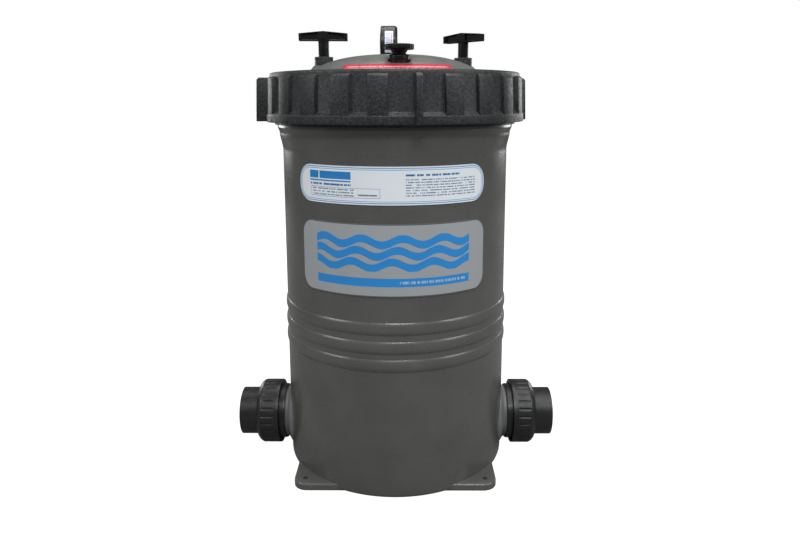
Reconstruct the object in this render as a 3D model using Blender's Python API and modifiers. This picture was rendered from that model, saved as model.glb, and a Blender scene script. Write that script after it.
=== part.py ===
"""Cartridge filter housing for a swimming pool, in metres, +Z up, front facing -Y.

A moulded tank with two side ports holds a pleated cartridge on a central seat. A domed lid is clamped by
a finned lock ring, and carries two screw-in T-handles, an air bleed valve and a pressure gauge.
"""

import math

import bmesh
import bpy
from mathutils import Matrix, Vector

MM = 0.001  # every size below is in millimetres
GAP = 0.3  # between pieces that touch

# Segments of a full turn.
LARGE = 32
MEDIUM = 24
LITTLE = 16
SMALL = 12

# Tank: a slightly tapered wall that flares into the neck under the lock ring.
TANK_BASE_R = 169.0
TANK_TAPER = 0.0152
BASE_LIFT = 0.6  # the round wall ends just above the foot plate's underside
WALL = 6.2
FLOOR = 11.0
FLOOR_CORNER = ((150.0, 0.0), (160.0, 6.0))  # radius and height above the floor of its two corner points
WALL_START_Z = 30.0
TAPER_TOP = 474.0
SHOULDER_Z = 511.0
SHOULDER_R = 168.3
NECK_R = 163.5
NECK_BORE_R = 150.0
RIM_Z = 556.0
THREAD_PITCH = 14.0
THREAD_RISE = 2.8
RIB_BANDS = (198.6, 224.0, 250.3)
RIB_BAND_WIDTH = 17.7
RIB_BAND_RISE = 2.0

# Square foot plate.
FOOT_HALF = 146.7
FOOT_CORNER_R = 20.0
FOOT_THICK = 10.0
FOOT_HOLE = 130.0
FOOT_HOLE_R = 4.0

# Side ports and unions, measured outwards along X.
PORT_Z = 52.7
PORT_INNER_FACE = 155.0
PORT_PAD_R = 48.0
PORT_PAD_FACE = 170.0
PORT_NECK_R = 40.0
PORT_THREAD_START = 186.5
PORT_THREAD_R = 43.2
PORT_FACE = 200.0
PORT_BORE_R = 26.0
INSERT_R = 25.0  # of what plugs into a port from inside
PORT_BORE_START = 120.0  # each bore runs out from inside the tank's wall
UNION_START = 183.8
UNION_RIB_R = 50.2
UNION_RIB_END = 211.0
UNION_NUT_END = 220.0
TAIL_R = 37.2
TAIL_END = 246.9
TAIL_SOCKET_R = 30.2
TAIL_SOCKET_DEPTH = 37.0
TAIL_FLANGE_R = 43.0
TAIL_FLANGE_END = 208.0

# Drain port at the back, measured outwards along Y.
DRAIN_Z = 26.0
DRAIN_FACE = 181.0
DRAIN_BOSS_R = 15.0
DRAIN_BORE_R = 9.0
DRAIN_BOSS_START = 160.0
DRAIN_BORE_START = 140.0
PLUG_HEAD_R = 13.5
PLUG_STEM_R = 8.4
PLUG_END = 167.0

# Lock ring.
RING_BOTTOM = 513.2
RING_TOP = 578.6
RING_BORE_R = 167.6
RING_LIP_R = 141.5
RING_COLLAR_R = 176.2
RING_RIB_R = 183.4
RING_FIN_R = 197.2
RING_RIB_WIDTH = 24.6
RING_FIN_WIDTH = 8.0
RING_RIB_ROOT_R = 170.0
RING_RIB_TOP = 573.0
RING_RECESS = (528.2, 571.5)
RING_SLOPE_BOTTOM = 523.7
RING_SKIRT = (168.9, 171.8, 509.7)  # inner radius, outer radius and bottom of a thin rim below
RING_POSITIONS = 24
RING_PHASE = math.radians(9.5)
RING_DRAFT = math.tan(math.radians(3.0))

# Lid.
LID_TOP = 604.5
LID_WALL = 7.0
FLANGE_R = 162.0
FLANGE_TOP = RING_TOP - 8.0 - GAP
SPIGOT_R = 149.2
SPIGOT_BOTTOM = 540.0
LID_GROOVE = (545.5, 552.5)
HOLD_DOWN = (57.0, 62.0)  # radii of the rib that presses on the cartridge
SEAT_Z = 588.0
SEAT_R = 15.0
SEAT_BOSS_BOTTOM = 570.0

# Lid fittings.
HANDLE_REACH = 100.0
HANDLE_LINE = math.radians(9.5)
HANDLE_BOSS_R = 13.0
HANDLE_BOSS_TOP = 588.6
HANDLE_COLLAR_TOP = 600.6
HANDLE_BAR = (67.5, 13.0, 12.8)
HANDLE_BAR_DROP = 3.0  # of the top edge at the bar's ends
HANDLE_BAR_BOTTOM = 622.0
HANDLE_BAR_WEB = 6.0  # half the solid stretch between a bar's pockets
HANDLE_STEM_R = 7.5
BUSH_R = (9.0, 6.4)  # outside and bore
BUSH_BOTTOM = 571.5
STUD_R = 5.9
STUD_ENDS = (573.0, 612.4)
HANDLES = (("left", -1, math.radians(4.0)), ("right", 1, math.radians(-46.0)))
BLEED_AT = (7.3, -96.0)
BLEED_TOP = 598.8
BLEED_BODY_R = 14.0
BLEED_STEM_R = 8.0
BLEED_BORE_R = 3.4
BLEED_BOTTOM = 571.0
SPINDLE_R = 3.0
SPINDLE_ENDS = (573.0, 603.4)
KNOB_R = (19.3, 18.4)  # over and between its teeth
KNOB_DISC = (604.7, 611.2)
GAUGE_AT = (-11.0, 95.0)
GAUGE_Z = 625.0
GAUGE_R = 28.0
GAUGE_DEPTH = 28.0
GAUGE_CASE_FRONT = 25.6  # these heights are from the case's back
GAUGE_CASE_BACK = 2.2
GAUGE_INSIDE_R = 25.8
GAUGE_DIAL = (18.2, 19.0)
GAUGE_DIAL_R = 25.2
GAUGE_STEM_R = 6.4

# Cartridge, its seat and the pipework inside the tank.
CARTRIDGE_BOTTOM = 97.8
CARTRIDGE_TOP = 532.0
CARTRIDGE_R = 133.0
CAP_FLOOR = 6.2
CAP_RIM = 20.0
PLEATS = 36
PLEAT_OUTER_R = 129.5
PLEAT_INNER_R = 88.0
BAND_INNER_R = 130.5
CORE_R = 40.0
CORE_WALL = 3.5
SEAT_SPIGOT_R = 27.4
ELBOW_R = 29.0
ELBOW_BORE_R = 23.0
RELIEF_TUBE_R = 5.0
RELIEF_TUBE_TOP = 505.0
RELIEF_TUBE_BOTTOM = 20.4
ELBOW_FLANGE = (44.0, 84.0, 90.0)  # radius, bottom and top
SEAT_FLANGE_R = 62.0
SEAT_BORE_R = 22.0
SEAT_TOP = 122.0
SEAT_GROOVE = (104.0, 108.0)
INSERT_END = 176.0  # how far along a port's bore the inner pipework reaches

# Labels, as (centre angle, arc length, bottom, top, corner radius) on the tank's front.
BADGE = (math.radians(-0.5), 272.0, 294.8, 390.6, 19.5)
INSTRUCTIONS = (math.radians(-1.5), 271.0, 414.5, 462.6, 22.0)
LABEL_THICK = 0.8
LABEL_GAP = 0.5

# Warning strip on the lid: radii down the dome's slope, and degrees round it.
STRIP_RADII = (111.2, 117.5, 123.5, 129.0)
STRIP_DEGREES = 74.0
STRIP_CENTRE = 3.4
STRIP_THICK = 0.4


# building tools


def clear_scene():
    for obj in list(bpy.data.objects):
        bpy.data.objects.remove(obj)


def new_collection(name):
    made = bpy.data.collections.new(name)
    bpy.context.scene.collection.children.link(made)
    return made


def material(name, colour, roughness, metallic=0.0):
    made = bpy.data.materials.new(name)
    made.use_nodes = True
    shader = made.node_tree.nodes["Principled BSDF"]
    shader.inputs["Base Color"].default_value = (*colour, 1.0)
    shader.inputs["Roughness"].default_value = roughness
    shader.inputs["Metallic"].default_value = metallic
    made.diffuse_color = (*colour, 1.0)
    return made


def add_object(name, mesh, finish=None, at=(0, 0, 0), turn=None):
    """A part if it has a finish, or else a cutter or a guide."""
    obj = bpy.data.objects.new(name, mesh)
    obj.location = Vector(at) * MM
    if turn is not None:
        obj.rotation_euler = turn.to_euler() if isinstance(turn, Matrix) else turn
    if finish is None:
        obj.hide_render = True
        obj.display_type = "WIRE"
        CUTTERS.objects.link(obj)
    else:
        mesh.materials.append(finish)
        PARTS.objects.link(obj)
    return obj


def arc(centre_r, centre_z, radius, start, end, steps):
    """Points of a profile on an arc, with angles in degrees from +X."""
    points = []
    for i in range(steps + 1):
        a = math.radians(start + (end - start) * i / steps)
        points.append((centre_r + radius * math.cos(a), centre_z + radius * math.sin(a)))
    return points


def turned(name, profile, finish=None, steps=MEDIUM, closed=False, at=(0, 0, 0), turn=None):
    """A shape turned about its own Z from (radius, height) points: outer side down, inner side up."""
    mesh = bpy.data.meshes.new(name)
    points = [(r * MM, 0.0, z * MM) for r, z in profile]
    edges = [(i, i + 1) for i in range(len(points) - 1)]
    if closed:
        edges.append((len(points) - 1, 0))
    mesh.from_pydata(points, edges, [])
    obj = add_object(name, mesh, finish, at, turn)
    screw = obj.modifiers.new("Turn", "SCREW")
    screw.steps = screw.render_steps = steps
    screw.use_merge_vertices = True
    screw.merge_threshold = 0.00001
    screw.use_smooth_shade = True
    return obj


def ring_section(mean_r, section_r, height=0.0, sides=6):
    """The closed profile of an O-ring."""
    return arc(mean_r, height, section_r, 90, 90 - 360 * (sides - 1) / sides, sides - 1)


def cylinder(name, radius, low, high, finish=None, steps=MEDIUM, at=(0, 0, 0), turn=None, top_r=None):
    """A cylinder or cone along its own Z, from low to high."""
    bm = bmesh.new()
    bmesh.ops.create_cone(
        bm,
        cap_ends=True,
        segments=steps,
        radius1=radius * MM,
        radius2=(radius if top_r is None else top_r) * MM,
        depth=(high - low) * MM,
        matrix=Matrix.Translation((0, 0, (low + high) / 2 * MM)),
    )
    obj = from_bmesh(name, bm, finish, at, turn)
    obj.data.shade_smooth()
    obj.data.set_sharp_from_angle(angle=math.radians(40))
    return obj


def from_bmesh(name, bm, finish=None, at=(0, 0, 0), turn=None):
    mesh = bpy.data.meshes.new(name)
    bm.to_mesh(mesh)
    bm.free()
    return add_object(name, mesh, finish, at, turn)


def add_box(bm, size, centre):
    """Adds a box to a bmesh and returns its vertices."""
    scale = Matrix.Diagonal((*(Vector(size) * MM), 1.0))
    place = Matrix.Translation(Vector(centre) * MM) @ scale
    return bmesh.ops.create_cube(bm, size=1.0, matrix=place)["verts"]


def box(name, size, centre, finish=None, bevel=0.0, at=(0, 0, 0), turn=None):
    bm = bmesh.new()
    add_box(bm, size, centre)
    if bevel:
        bmesh.ops.bevel(
            bm, geom=bm.edges[:], offset=bevel * MM, segments=1, profile=0.5, affect="EDGES"
        )
    return from_bmesh(name, bm, finish, at, turn)


def prism(name, outline, low, high, finish=None, at=(0, 0, 0), turn=None):
    """A flat outline of (x, y) points, counter-clockwise, extruded from low to high."""
    bm = bmesh.new()
    face = bm.faces.new([bm.verts.new((x * MM, y * MM, low * MM)) for x, y in outline])
    raised = bmesh.ops.extrude_face_region(bm, geom=[face], use_keep_orig=True)["geom"]
    rise = Vector((0, 0, (high - low) * MM))
    bmesh.ops.translate(bm, vec=rise, verts=[v for v in raised if isinstance(v, bmesh.types.BMVert)])
    bmesh.ops.recalc_face_normals(bm, faces=bm.faces)
    return from_bmesh(name, bm, finish, at, turn)


def toothed_outline(count, outer_r, inner_r, share, phase=0.0, flank=0.12):
    """A ring of teeth: share is the part of each pitch that a tooth takes, flank that of its two slopes."""
    points = []
    pitch = 2 * math.pi / count
    for i in range(count):
        middle = phase + i * pitch
        for radius, offset in (
            (inner_r, -share / 2 - flank / 2),
            (outer_r, -share / 2 + flank / 2),
            (outer_r, share / 2 - flank / 2),
            (inner_r, share / 2 + flank / 2),
        ):
            a = middle + offset * pitch
            points.append((radius * math.cos(a), radius * math.sin(a)))
    return points


def combine(obj, other, operation):
    change = obj.modifiers.new(f"{operation.title()} {other.name}", "BOOLEAN")
    change.operation = operation
    change.solver = "EXACT"
    change.object = other


def cut(obj, *others):
    for other in others:
        combine(obj, other, "DIFFERENCE")


def join(obj, *others):
    for other in others:
        combine(obj, other, "UNION")


def along_x(side):
    """Turns a shape's own +Z to point along +X, or -X where side is -1."""
    return Matrix.Rotation(side * math.pi / 2, 4, "Y")


# tank


def wall_radius(z):
    return TANK_BASE_R - TANK_TAPER * z


def rib_band(centre):
    """A band's outline from its top edge to its bottom edge."""
    points = []
    for step, rise in ((0.5, 0.0), (0.2, 1.0), (-0.2, 1.0), (-0.5, 0.0)):
        z = centre + step * RIB_BAND_WIDTH
        points.append((wall_radius(z) + rise * RIB_BAND_RISE, z))
    return points


def thread_ridges(radius, top, count, pitch, rise):
    """Plain ridges that stand for a thread, from the top one down."""
    points = []
    for i in range(count):
        z = top - i * pitch
        points += [
            (radius, z + 0.28 * pitch),
            (radius + rise, z + 0.1 * pitch),
            (radius + rise, z - 0.1 * pitch),
            (radius, z - 0.28 * pitch),
        ]
    return points


def tank_profile():
    inner = [
        (0.0, FLOOR),
        *((radius, FLOOR + rise) for radius, rise in FLOOR_CORNER),
        (wall_radius(WALL_START_Z) - WALL, WALL_START_Z),
        (wall_radius(TAPER_TOP) - WALL, TAPER_TOP - 4.0),
        (NECK_BORE_R, SHOULDER_Z - 6.0),
        (NECK_BORE_R, RIM_Z - 1.5),
        (NECK_BORE_R + 1.5, RIM_Z),
    ]
    outer = [(NECK_R - 1.0, RIM_Z), (NECK_R, RIM_Z - 1.0)]
    outer += thread_ridges(NECK_R, RIM_Z - 12.0, 2, THREAD_PITCH, THREAD_RISE)
    outer += [
        (NECK_R, SHOULDER_Z + 1.0),
        (SHOULDER_R - 1.0, SHOULDER_Z),
        (SHOULDER_R, SHOULDER_Z - 1.5),
        (SHOULDER_R - 1.8, SHOULDER_Z - 7.0),
        (SHOULDER_R - 3.9, SHOULDER_Z - 18.0),
        (wall_radius(TAPER_TOP) + 0.7, TAPER_TOP + 7.0),
        (wall_radius(TAPER_TOP), TAPER_TOP - 4.0),
    ]
    for centre in reversed(RIB_BANDS):
        outer += rib_band(centre)
    outer += [(wall_radius(4.0), 4.5), (wall_radius(0) - 1.2, 1.7), (wall_radius(0) - 4.0, BASE_LIFT)]
    return inner + outer + [(0.0, BASE_LIFT)]


def port_profile():
    """The port's outside, from its open face back to its inner face."""
    return [
        (0.0, PORT_FACE),
        (PORT_THREAD_R - 1.5, PORT_FACE),
        (PORT_THREAD_R, PORT_FACE - 1.5),
        (PORT_THREAD_R, PORT_THREAD_START),
        (PORT_NECK_R, PORT_THREAD_START - 1.0),
        (PORT_NECK_R, PORT_PAD_FACE),
        (PORT_PAD_R, PORT_PAD_FACE),
        (PORT_PAD_R, PORT_INNER_FACE),
        (0.0, PORT_INNER_FACE),
    ]


def foot_plate():
    bm = bmesh.new()
    size = 2 * FOOT_HALF
    add_box(bm, (size, size, FOOT_THICK), (0, 0, FOOT_THICK / 2))
    upright = [e for e in bm.edges if abs(e.verts[0].co.z - e.verts[1].co.z) > FOOT_THICK * MM / 2]
    bmesh.ops.bevel(
        bm, geom=upright, offset=FOOT_CORNER_R * MM, segments=5, profile=0.5, affect="EDGES"
    )
    return from_bmesh("foot_plate", bm)


def build_tank(finish):
    tank = turned("tank", tank_profile(), finish, LARGE)
    join(tank, foot_plate())
    for side in (-1, 1):
        place = {"at": (0, 0, PORT_Z), "turn": along_x(side)}
        join(tank, turned(f"port_outside_{side}", port_profile(), None, MEDIUM, **place))
    reach = PORT_FACE + 5
    for side in (-1, 1):
        place = {"at": (0, 0, PORT_Z), "turn": along_x(side)}
        cut(tank, cylinder(f"port_bore_{side}", PORT_BORE_R, PORT_BORE_START, reach, steps=LITTLE, **place))
    back = {"at": (0, 0, DRAIN_Z), "turn": (-math.pi / 2, 0, 0)}
    join(tank, cylinder("drain_boss", DRAIN_BOSS_R, DRAIN_BOSS_START, DRAIN_FACE, steps=SMALL, **back))
    cut(tank, cylinder("drain_bore", DRAIN_BORE_R, DRAIN_BORE_START, DRAIN_FACE + 5, steps=SMALL, **back))
    for i in range(4):
        a = math.radians(45 + 90 * i)
        reach = FOOT_HOLE * math.sqrt(2)
        centre = (reach * math.cos(a), reach * math.sin(a), 0)
        cut(tank, cylinder(f"foot_hole_{i}", FOOT_HOLE_R, -5, FOOT_THICK + 8, steps=12, at=centre))
    return tank


# lock ring


def ring_outside():
    """The ring's plain outside as a solid: collar, recessed wall and bottom flange."""
    low, high = RING_RECESS
    return [
        (0.0, RING_TOP),
        (RING_COLLAR_R - 4.0, RING_TOP),
        (RING_COLLAR_R - 1.2, RING_TOP - 1.2),
        (RING_COLLAR_R, RING_TOP - 4.0),
        (RING_COLLAR_R + 0.3, high),
        (RING_COLLAR_R + 0.3 + (high - low) * RING_DRAFT, low),
        (RING_RIB_R, RING_SLOPE_BOTTOM),
        (RING_RIB_R, RING_BOTTOM + 1.0),
        (RING_RIB_R - 1.0, RING_BOTTOM),
        (RING_SKIRT[1], RING_BOTTOM),
        (RING_SKIRT[1], RING_SKIRT[2]),
        (0.0, RING_SKIRT[2]),
    ]


def ring_cavity():
    lip = FLANGE_TOP + GAP
    return [
        (0.0, RING_TOP + 10),
        (RING_LIP_R, RING_TOP + 10),
        (RING_LIP_R, lip),
        (RING_BORE_R, lip),
        (RING_BORE_R, RING_BOTTOM),
        (RING_SKIRT[0], RING_BOTTOM),
        (RING_SKIRT[0], RING_BOTTOM - 10),
        (0.0, RING_BOTTOM - 10),
    ]


def wedge_rib(bm, angle, thick, reach, top_inset):
    """A radial rib with draft on its face and a sloped top, added to a bmesh."""
    inner, low, high = RING_RIB_ROOT_R, RING_BOTTOM + 0.6, RING_RIB_TOP
    verts = add_box(bm, (reach - inner, thick, high - low), ((reach + inner) / 2, 0, (low + high) / 2))
    lean = (high - low) * RING_DRAFT * MM
    for v in verts:
        if v.co.z > (low + high) / 2 * MM and v.co.x > (inner + reach) / 2 * MM:
            v.co.x -= lean
    outer_top = [
        e
        for e in bm.edges
        if all(v in verts and v.co.z > high * MM - 1e-6 and v.co.x > (inner + 2) * MM for v in e.verts)
    ]
    made = bmesh.ops.bevel(
        bm, geom=outer_top, offset=top_inset * MM, segments=1, profile=0.5, affect="EDGES"
    )
    shape = {v for v in verts if v.is_valid} | set(made["verts"])
    bmesh.ops.rotate(bm, cent=(0, 0, 0), matrix=Matrix.Rotation(angle, 3, "Z"), verts=list(shape))


def build_lock_ring(finish):
    ring = turned("lock_ring", ring_outside(), finish, LARGE)
    ribs = bmesh.new()
    pitch = 2 * math.pi / RING_POSITIONS
    for i in range(RING_POSITIONS):
        angle = RING_PHASE - math.pi / 2 + i * pitch
        if i % 6 == 0:
            wedge_rib(ribs, angle, RING_FIN_WIDTH, RING_FIN_R, 3.0)
        else:
            wedge_rib(ribs, angle, RING_RIB_WIDTH, RING_RIB_R - 0.2, 2.6)
    join(ring, from_bmesh("ring_ribs", ribs))
    cut(ring, turned("ring_cavity", ring_cavity(), None, LARGE))
    return ring


# lid


def dome_height(r):
    """The crown's outside height: nearly flat in the middle and falling faster towards the knuckle."""
    return LID_TOP - r * r / 1290.0 - 5.0 * (r / 100.0) ** 4 - 0.45 * (r / 100.0) ** 8


def lid_profile():
    outer = [(r, dome_height(r)) for r in (0, 40, 70, 92, 108, 120, 130)]
    outer += [
        (135.6, FLANGE_TOP + 1.2),
        (138.0, FLANGE_TOP),
        (FLANGE_R - 1.2, FLANGE_TOP),
        (FLANGE_R, FLANGE_TOP - 1.2),
        (FLANGE_R, RIM_Z + GAP),
        (SPIGOT_R, RIM_Z + GAP),
        (SPIGOT_R, LID_GROOVE[1]),
        (SPIGOT_R - 5.2, LID_GROOVE[1]),
        (SPIGOT_R - 5.2, LID_GROOVE[0]),
        (SPIGOT_R, LID_GROOVE[0]),
        (SPIGOT_R, SPIGOT_BOTTOM + 1.5),
        (SPIGOT_R - 1.5, SPIGOT_BOTTOM),
    ]
    rib_in, rib_out = HOLD_DOWN
    inner = [(138.5, SPIGOT_BOTTOM), (136.0, 556.0), (128.0, 567.5)]
    inner += [(r, dome_height(r) - LID_WALL) for r in (114, 90, rib_out)]
    inner += [
        (rib_out, CARTRIDGE_TOP + 1.0),
        (rib_in, CARTRIDGE_TOP + 1.0),
        (rib_in, dome_height(rib_in) - LID_WALL),
        (0.0, LID_TOP - LID_WALL),
    ]
    return outer + inner


def handle_place(side):
    reach = side * HANDLE_REACH
    return reach * math.cos(HANDLE_LINE), reach * math.sin(HANDLE_LINE)


def build_lid(finish):
    lid = turned("lid", lid_profile(), finish, LARGE)
    for name, side, _ in HANDLES:
        at = (*handle_place(side), 0)
        boss = [
            (0.0, HANDLE_BOSS_TOP + 0.4),
            (HANDLE_BOSS_R + 0.8, HANDLE_BOSS_TOP + 0.4),
            (HANDLE_BOSS_R + 6.0, HANDLE_BOSS_TOP - 6.0),
            (HANDLE_BOSS_R + 6.0, HANDLE_BOSS_TOP - 9.0),
            (HANDLE_BOSS_R, HANDLE_BOSS_TOP - 22.0),
            (0.0, HANDLE_BOSS_TOP - 22.0),
        ]
        join(lid, turned(f"{name}_boss", boss, None, SMALL, at=at))
        cut(lid, cylinder(f"{name}_seat", HANDLE_BOSS_R + 0.5, HANDLE_BOSS_TOP, 620.0, steps=SMALL, at=at))
        bore_r = BUSH_R[0] + GAP
        cut(lid, cylinder(f"{name}_boss_bore", bore_r, SEAT_BOSS_BOTTOM + 1.0, 610.0, steps=SMALL, at=at))
    for name, place, bore in (
        ("bleed", BLEED_AT, BLEED_STEM_R + 0.4),
        ("gauge", GAUGE_AT, GAUGE_STEM_R + 0.4),
    ):
        at = (*place, 0)
        join(lid, cylinder(f"{name}_boss", SEAT_R - 0.8, SEAT_BOSS_BOTTOM, SEAT_Z + 0.4, steps=SMALL, at=at))
        cut(lid, cylinder(f"{name}_seat", SEAT_R, SEAT_Z, 620.0, steps=MEDIUM, at=at))
        cut(lid, cylinder(f"{name}_bore", bore, 560.0, 600.0, steps=SMALL, at=at))
    return lid


def build_handle(name, side, angle, grip_finish, stud_finish, bush_finish):
    at = (*handle_place(side), 0)
    bush = [
        (HANDLE_BOSS_R, HANDLE_COLLAR_TOP),
        (HANDLE_BOSS_R, HANDLE_BOSS_TOP + GAP),
        (BUSH_R[0], HANDLE_BOSS_TOP + GAP),
        (BUSH_R[0], BUSH_BOTTOM),
        (BUSH_R[1], BUSH_BOTTOM),
        (BUSH_R[1], HANDLE_COLLAR_TOP),
    ]
    turned(f"{name}_handle_bush", bush, bush_finish, SMALL, closed=True, at=at)
    low, high = STUD_ENDS
    stud = [(0, high), (STUD_R - 0.7, high), (STUD_R, high - 1)]
    stud += [(STUD_R, low + 2), (STUD_R - 1.3, low), (0, low)]
    turned(f"{name}_handle_stud", stud, stud_finish, SMALL, at=at)
    length, depth, height = HANDLE_BAR
    grip = cylinder(
        f"{name}_handle_grip",
        HANDLE_STEM_R,
        HANDLE_COLLAR_TOP + GAP,
        HANDLE_BAR_BOTTOM + 4,
        grip_finish,
        SMALL,
        at=at,
    )
    bm = bmesh.new()
    verts = add_box(bm, (length, depth, height), (0, 0, HANDLE_BAR_BOTTOM + height / 2))
    for v in verts:
        if v.co.z > (HANDLE_BAR_BOTTOM + height / 2) * MM:
            v.co.z -= HANDLE_BAR_DROP * MM
    bmesh.ops.subdivide_edges(
        bm, edges=[e for e in bm.edges if abs(e.verts[0].co.x - e.verts[1].co.x) > MM], cuts=1
    )
    for v in bm.verts:
        if abs(v.co.x) < MM and v.co.z > (HANDLE_BAR_BOTTOM + height / 2) * MM:
            v.co.z += HANDLE_BAR_DROP * MM
    bar = from_bmesh(f"{name}_bar", bm, at=at, turn=(0, 0, angle))
    join(grip, bar)
    pockets = bmesh.new()
    pocket_length = length / 2 - 3.2 - HANDLE_BAR_WEB
    for x in (-1, 1):
        for y in (-1, 1):
            centre = (x * (HANDLE_BAR_WEB + pocket_length / 2), y * depth / 2, HANDLE_BAR_BOTTOM + 5.8)
            add_box(pockets, (pocket_length, 7.0, 6.4), centre)
    cut(grip, from_bmesh(f"{name}_pockets", pockets, at=at, turn=(0, 0, angle)))
    socket_r, socket_top = BUSH_R[1] - 0.1, STUD_ENDS[1] + 0.6
    cut(grip, cylinder(f"{name}_stud_socket", socket_r, HANDLE_BOSS_TOP, socket_top, steps=SMALL, at=at))


def build_bleed_valve(black, steel, rubber):
    at = (*BLEED_AT, 0)
    floor = SEAT_Z + GAP
    body = [
        (BLEED_BODY_R - 2.0, BLEED_TOP),
        (BLEED_BODY_R, BLEED_TOP - 1.6),
        (BLEED_BODY_R, floor + 1.2),
        (BLEED_BODY_R - 1.0, floor),
        (BLEED_BODY_R - 1.7, floor),
        (BLEED_BODY_R - 1.7, floor + 2.2),
        (BLEED_STEM_R, floor + 2.2),
        (BLEED_STEM_R, BLEED_BOTTOM),
        (BLEED_BORE_R, BLEED_BOTTOM),
        (BLEED_BORE_R, BLEED_TOP),
    ]
    turned("bleed_valve_body", body, black, SMALL, closed=True, at=at)
    outer, inner = BLEED_BODY_R - 2.0, BLEED_STEM_R + 0.6
    washer = [(outer, floor + 1.9), (outer, floor), (inner, floor), (inner, floor + 1.9)]
    turned("bleed_valve_washer", washer, rubber, SMALL, closed=True, at=at)
    tip, top = SPINDLE_ENDS
    spindle = [(0, top), (SPINDLE_R, top), (SPINDLE_R, tip + 5.0), (0.8, tip), (0, tip)]
    turned("bleed_valve_spindle", spindle, steel, 12, at=at)
    low = BLEED_TOP + GAP
    hub = cylinder("bleed_valve_knob", 9.2, low, KNOB_DISC[0] + 0.6, black, SMALL, at=at, top_r=10.6)
    disc = prism("knob_disc", toothed_outline(20, *KNOB_R, 0.5), *KNOB_DISC, at=at)
    join(hub, disc)
    cut(hub, cylinder("knob_socket", SPINDLE_R + GAP, SEAT_Z, SPINDLE_ENDS[1] + 0.5, steps=12, at=at))


def on_gauge(depth_from_front=0.0):
    """Where a gauge piece's own origin goes, with its own +Z turned to face -X."""
    front = GAUGE_AT[0] - GAUGE_DEPTH / 2
    return {"at": (front + depth_from_front, GAUGE_AT[1], GAUGE_Z), "turn": along_x(-1)}


def build_gauge(black, clear, white, red, brass, steel, rubber):
    place = on_gauge(GAUGE_DEPTH)
    case = turned(
        "gauge_case",
        [
            (0.0, GAUGE_CASE_FRONT),
            (GAUGE_R - 1.0, GAUGE_CASE_FRONT),
            (GAUGE_R, GAUGE_CASE_FRONT - 1.4),
            (GAUGE_R, 2.0),
            (GAUGE_R - 2.0, 0.0),
            (0.0, 0.0),
        ],
        black,
        LITTLE,
        **place,
    )
    cut(case, cylinder("case_inside", GAUGE_INSIDE_R, GAUGE_CASE_BACK, GAUGE_DEPTH, steps=LITTLE, **place))
    cut(case, cylinder("case_stem_hole", 4.3, 590.0, 604.0, steps=12, at=(*GAUGE_AT, 0)))
    lens_outer = [(0, 27.2), (17.0, 26.6), (24.0, 25.4), (25.4, 24.8), (25.4, 22.7)]
    lens_inner = [(23.9, 22.7), (23.4, 23.7), (16.5, 25.1), (0, 25.7)]
    turned("gauge_lens", lens_outer + lens_inner, clear, LITTLE, **place)
    back, front = GAUGE_DIAL
    dial = [(GAUGE_DIAL_R, front), (GAUGE_DIAL_R, back), (1.9, back), (1.9, front)]
    turned("gauge_dial", dial, white, LITTLE, closed=True, **place)
    build_pointer(red, place)
    movement = box("gauge_movement", (11.0, 13.0, 7.0), (0, 0, 13.0), brass, bevel=0.6, **place)
    cut(movement, cylinder("movement_bearing", 1.6, 5.0, 20.0, steps=8, **place))
    build_bourdon_tube(brass, place)
    build_gauge_stem(brass, rubber)
    sticker = turned_sheet(
        "gauge_sticker", [(GAUGE_R + 0.6, 21.0), (GAUGE_R + 0.6, 4.0)], 68.0, 8, 0.4, white, place
    )
    sticker.rotation_euler = (along_x(-1) @ Matrix.Rotation(math.radians(-90 - 34 + 7), 4, "Z")).to_euler()


def build_pointer(finish, place):
    """A tapered blade on a hub, with the spindle that carries it, at rest on the dial's zero."""
    pointer = cylinder("gauge_pointer", 2.6, 20.0, 21.4, finish, 12, **place)
    tip, tail = 19.0, -7.0
    blade = prism(
        "pointer_blade", [(tail, -1.6), (tip, -0.35), (tip, 0.35), (tail, 1.6)], 20.2, 21.2, **place
    )
    zero = math.radians(135)
    blade.rotation_euler = (along_x(-1) @ Matrix.Rotation(zero, 4, "Z")).to_euler()
    join(pointer, blade)
    join(pointer, cylinder("pointer_spindle", 1.2, 7.0, 20.6, steps=8, **place))


def build_bourdon_tube(finish, place):
    """The curved tube that straightens as pressure rises, from the stem round to a free end."""
    curve = bpy.data.curves.new("gauge_bourdon_tube", "CURVE")
    curve.dimensions = "3D"
    curve.bevel_depth = 1.7 * MM
    curve.bevel_resolution = 1
    curve.use_fill_caps = True
    steps, radius, height = 16, 17.5, 9.0
    spline = curve.splines.new("POLY")
    spline.points.add(steps)
    for i in range(steps + 1):
        a = math.radians(202 + (-250) * i / steps)
        spline.points[i].co = (radius * math.cos(a) * MM, radius * math.sin(a) * MM, height * MM, 1)
    obj = add_object("gauge_bourdon_tube", curve, finish, **place)
    weld = obj.modifiers.new("Weld", "WELD")
    weld.merge_threshold = 0.00001


def hexagon(across_flats):
    corner = across_flats / math.sqrt(3)
    return [(corner * math.cos(math.pi / 3 * i), corner * math.sin(math.pi / 3 * i)) for i in range(6)]


def build_gauge_stem(brass, rubber):
    at = (*GAUGE_AT, 0)
    floor = SEAT_Z + GAP + 1.5 + GAP
    stem = cylinder("gauge_stem", GAUGE_STEM_R, BLEED_BOTTOM, floor + 1.0, brass, SMALL, at=at)
    join(stem, prism("stem_hexagon", hexagon(15.0), floor, 595.6, at=at))
    join(stem, cylinder("stem_neck", 3.8, 594.0, 606.0, steps=12, at=at))
    cut(stem, cylinder("stem_bore", 2.2, 560.0, 603.0, steps=8, at=at))
    outer, inner = 11.0, GAUGE_STEM_R + 0.4
    low, high = SEAT_Z + GAP, floor - GAP
    washer = [(outer, high), (outer, low), (inner, low), (inner, high)]
    turned("gauge_washer", washer, rubber, SMALL, closed=True, at=at)


# labels


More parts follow.
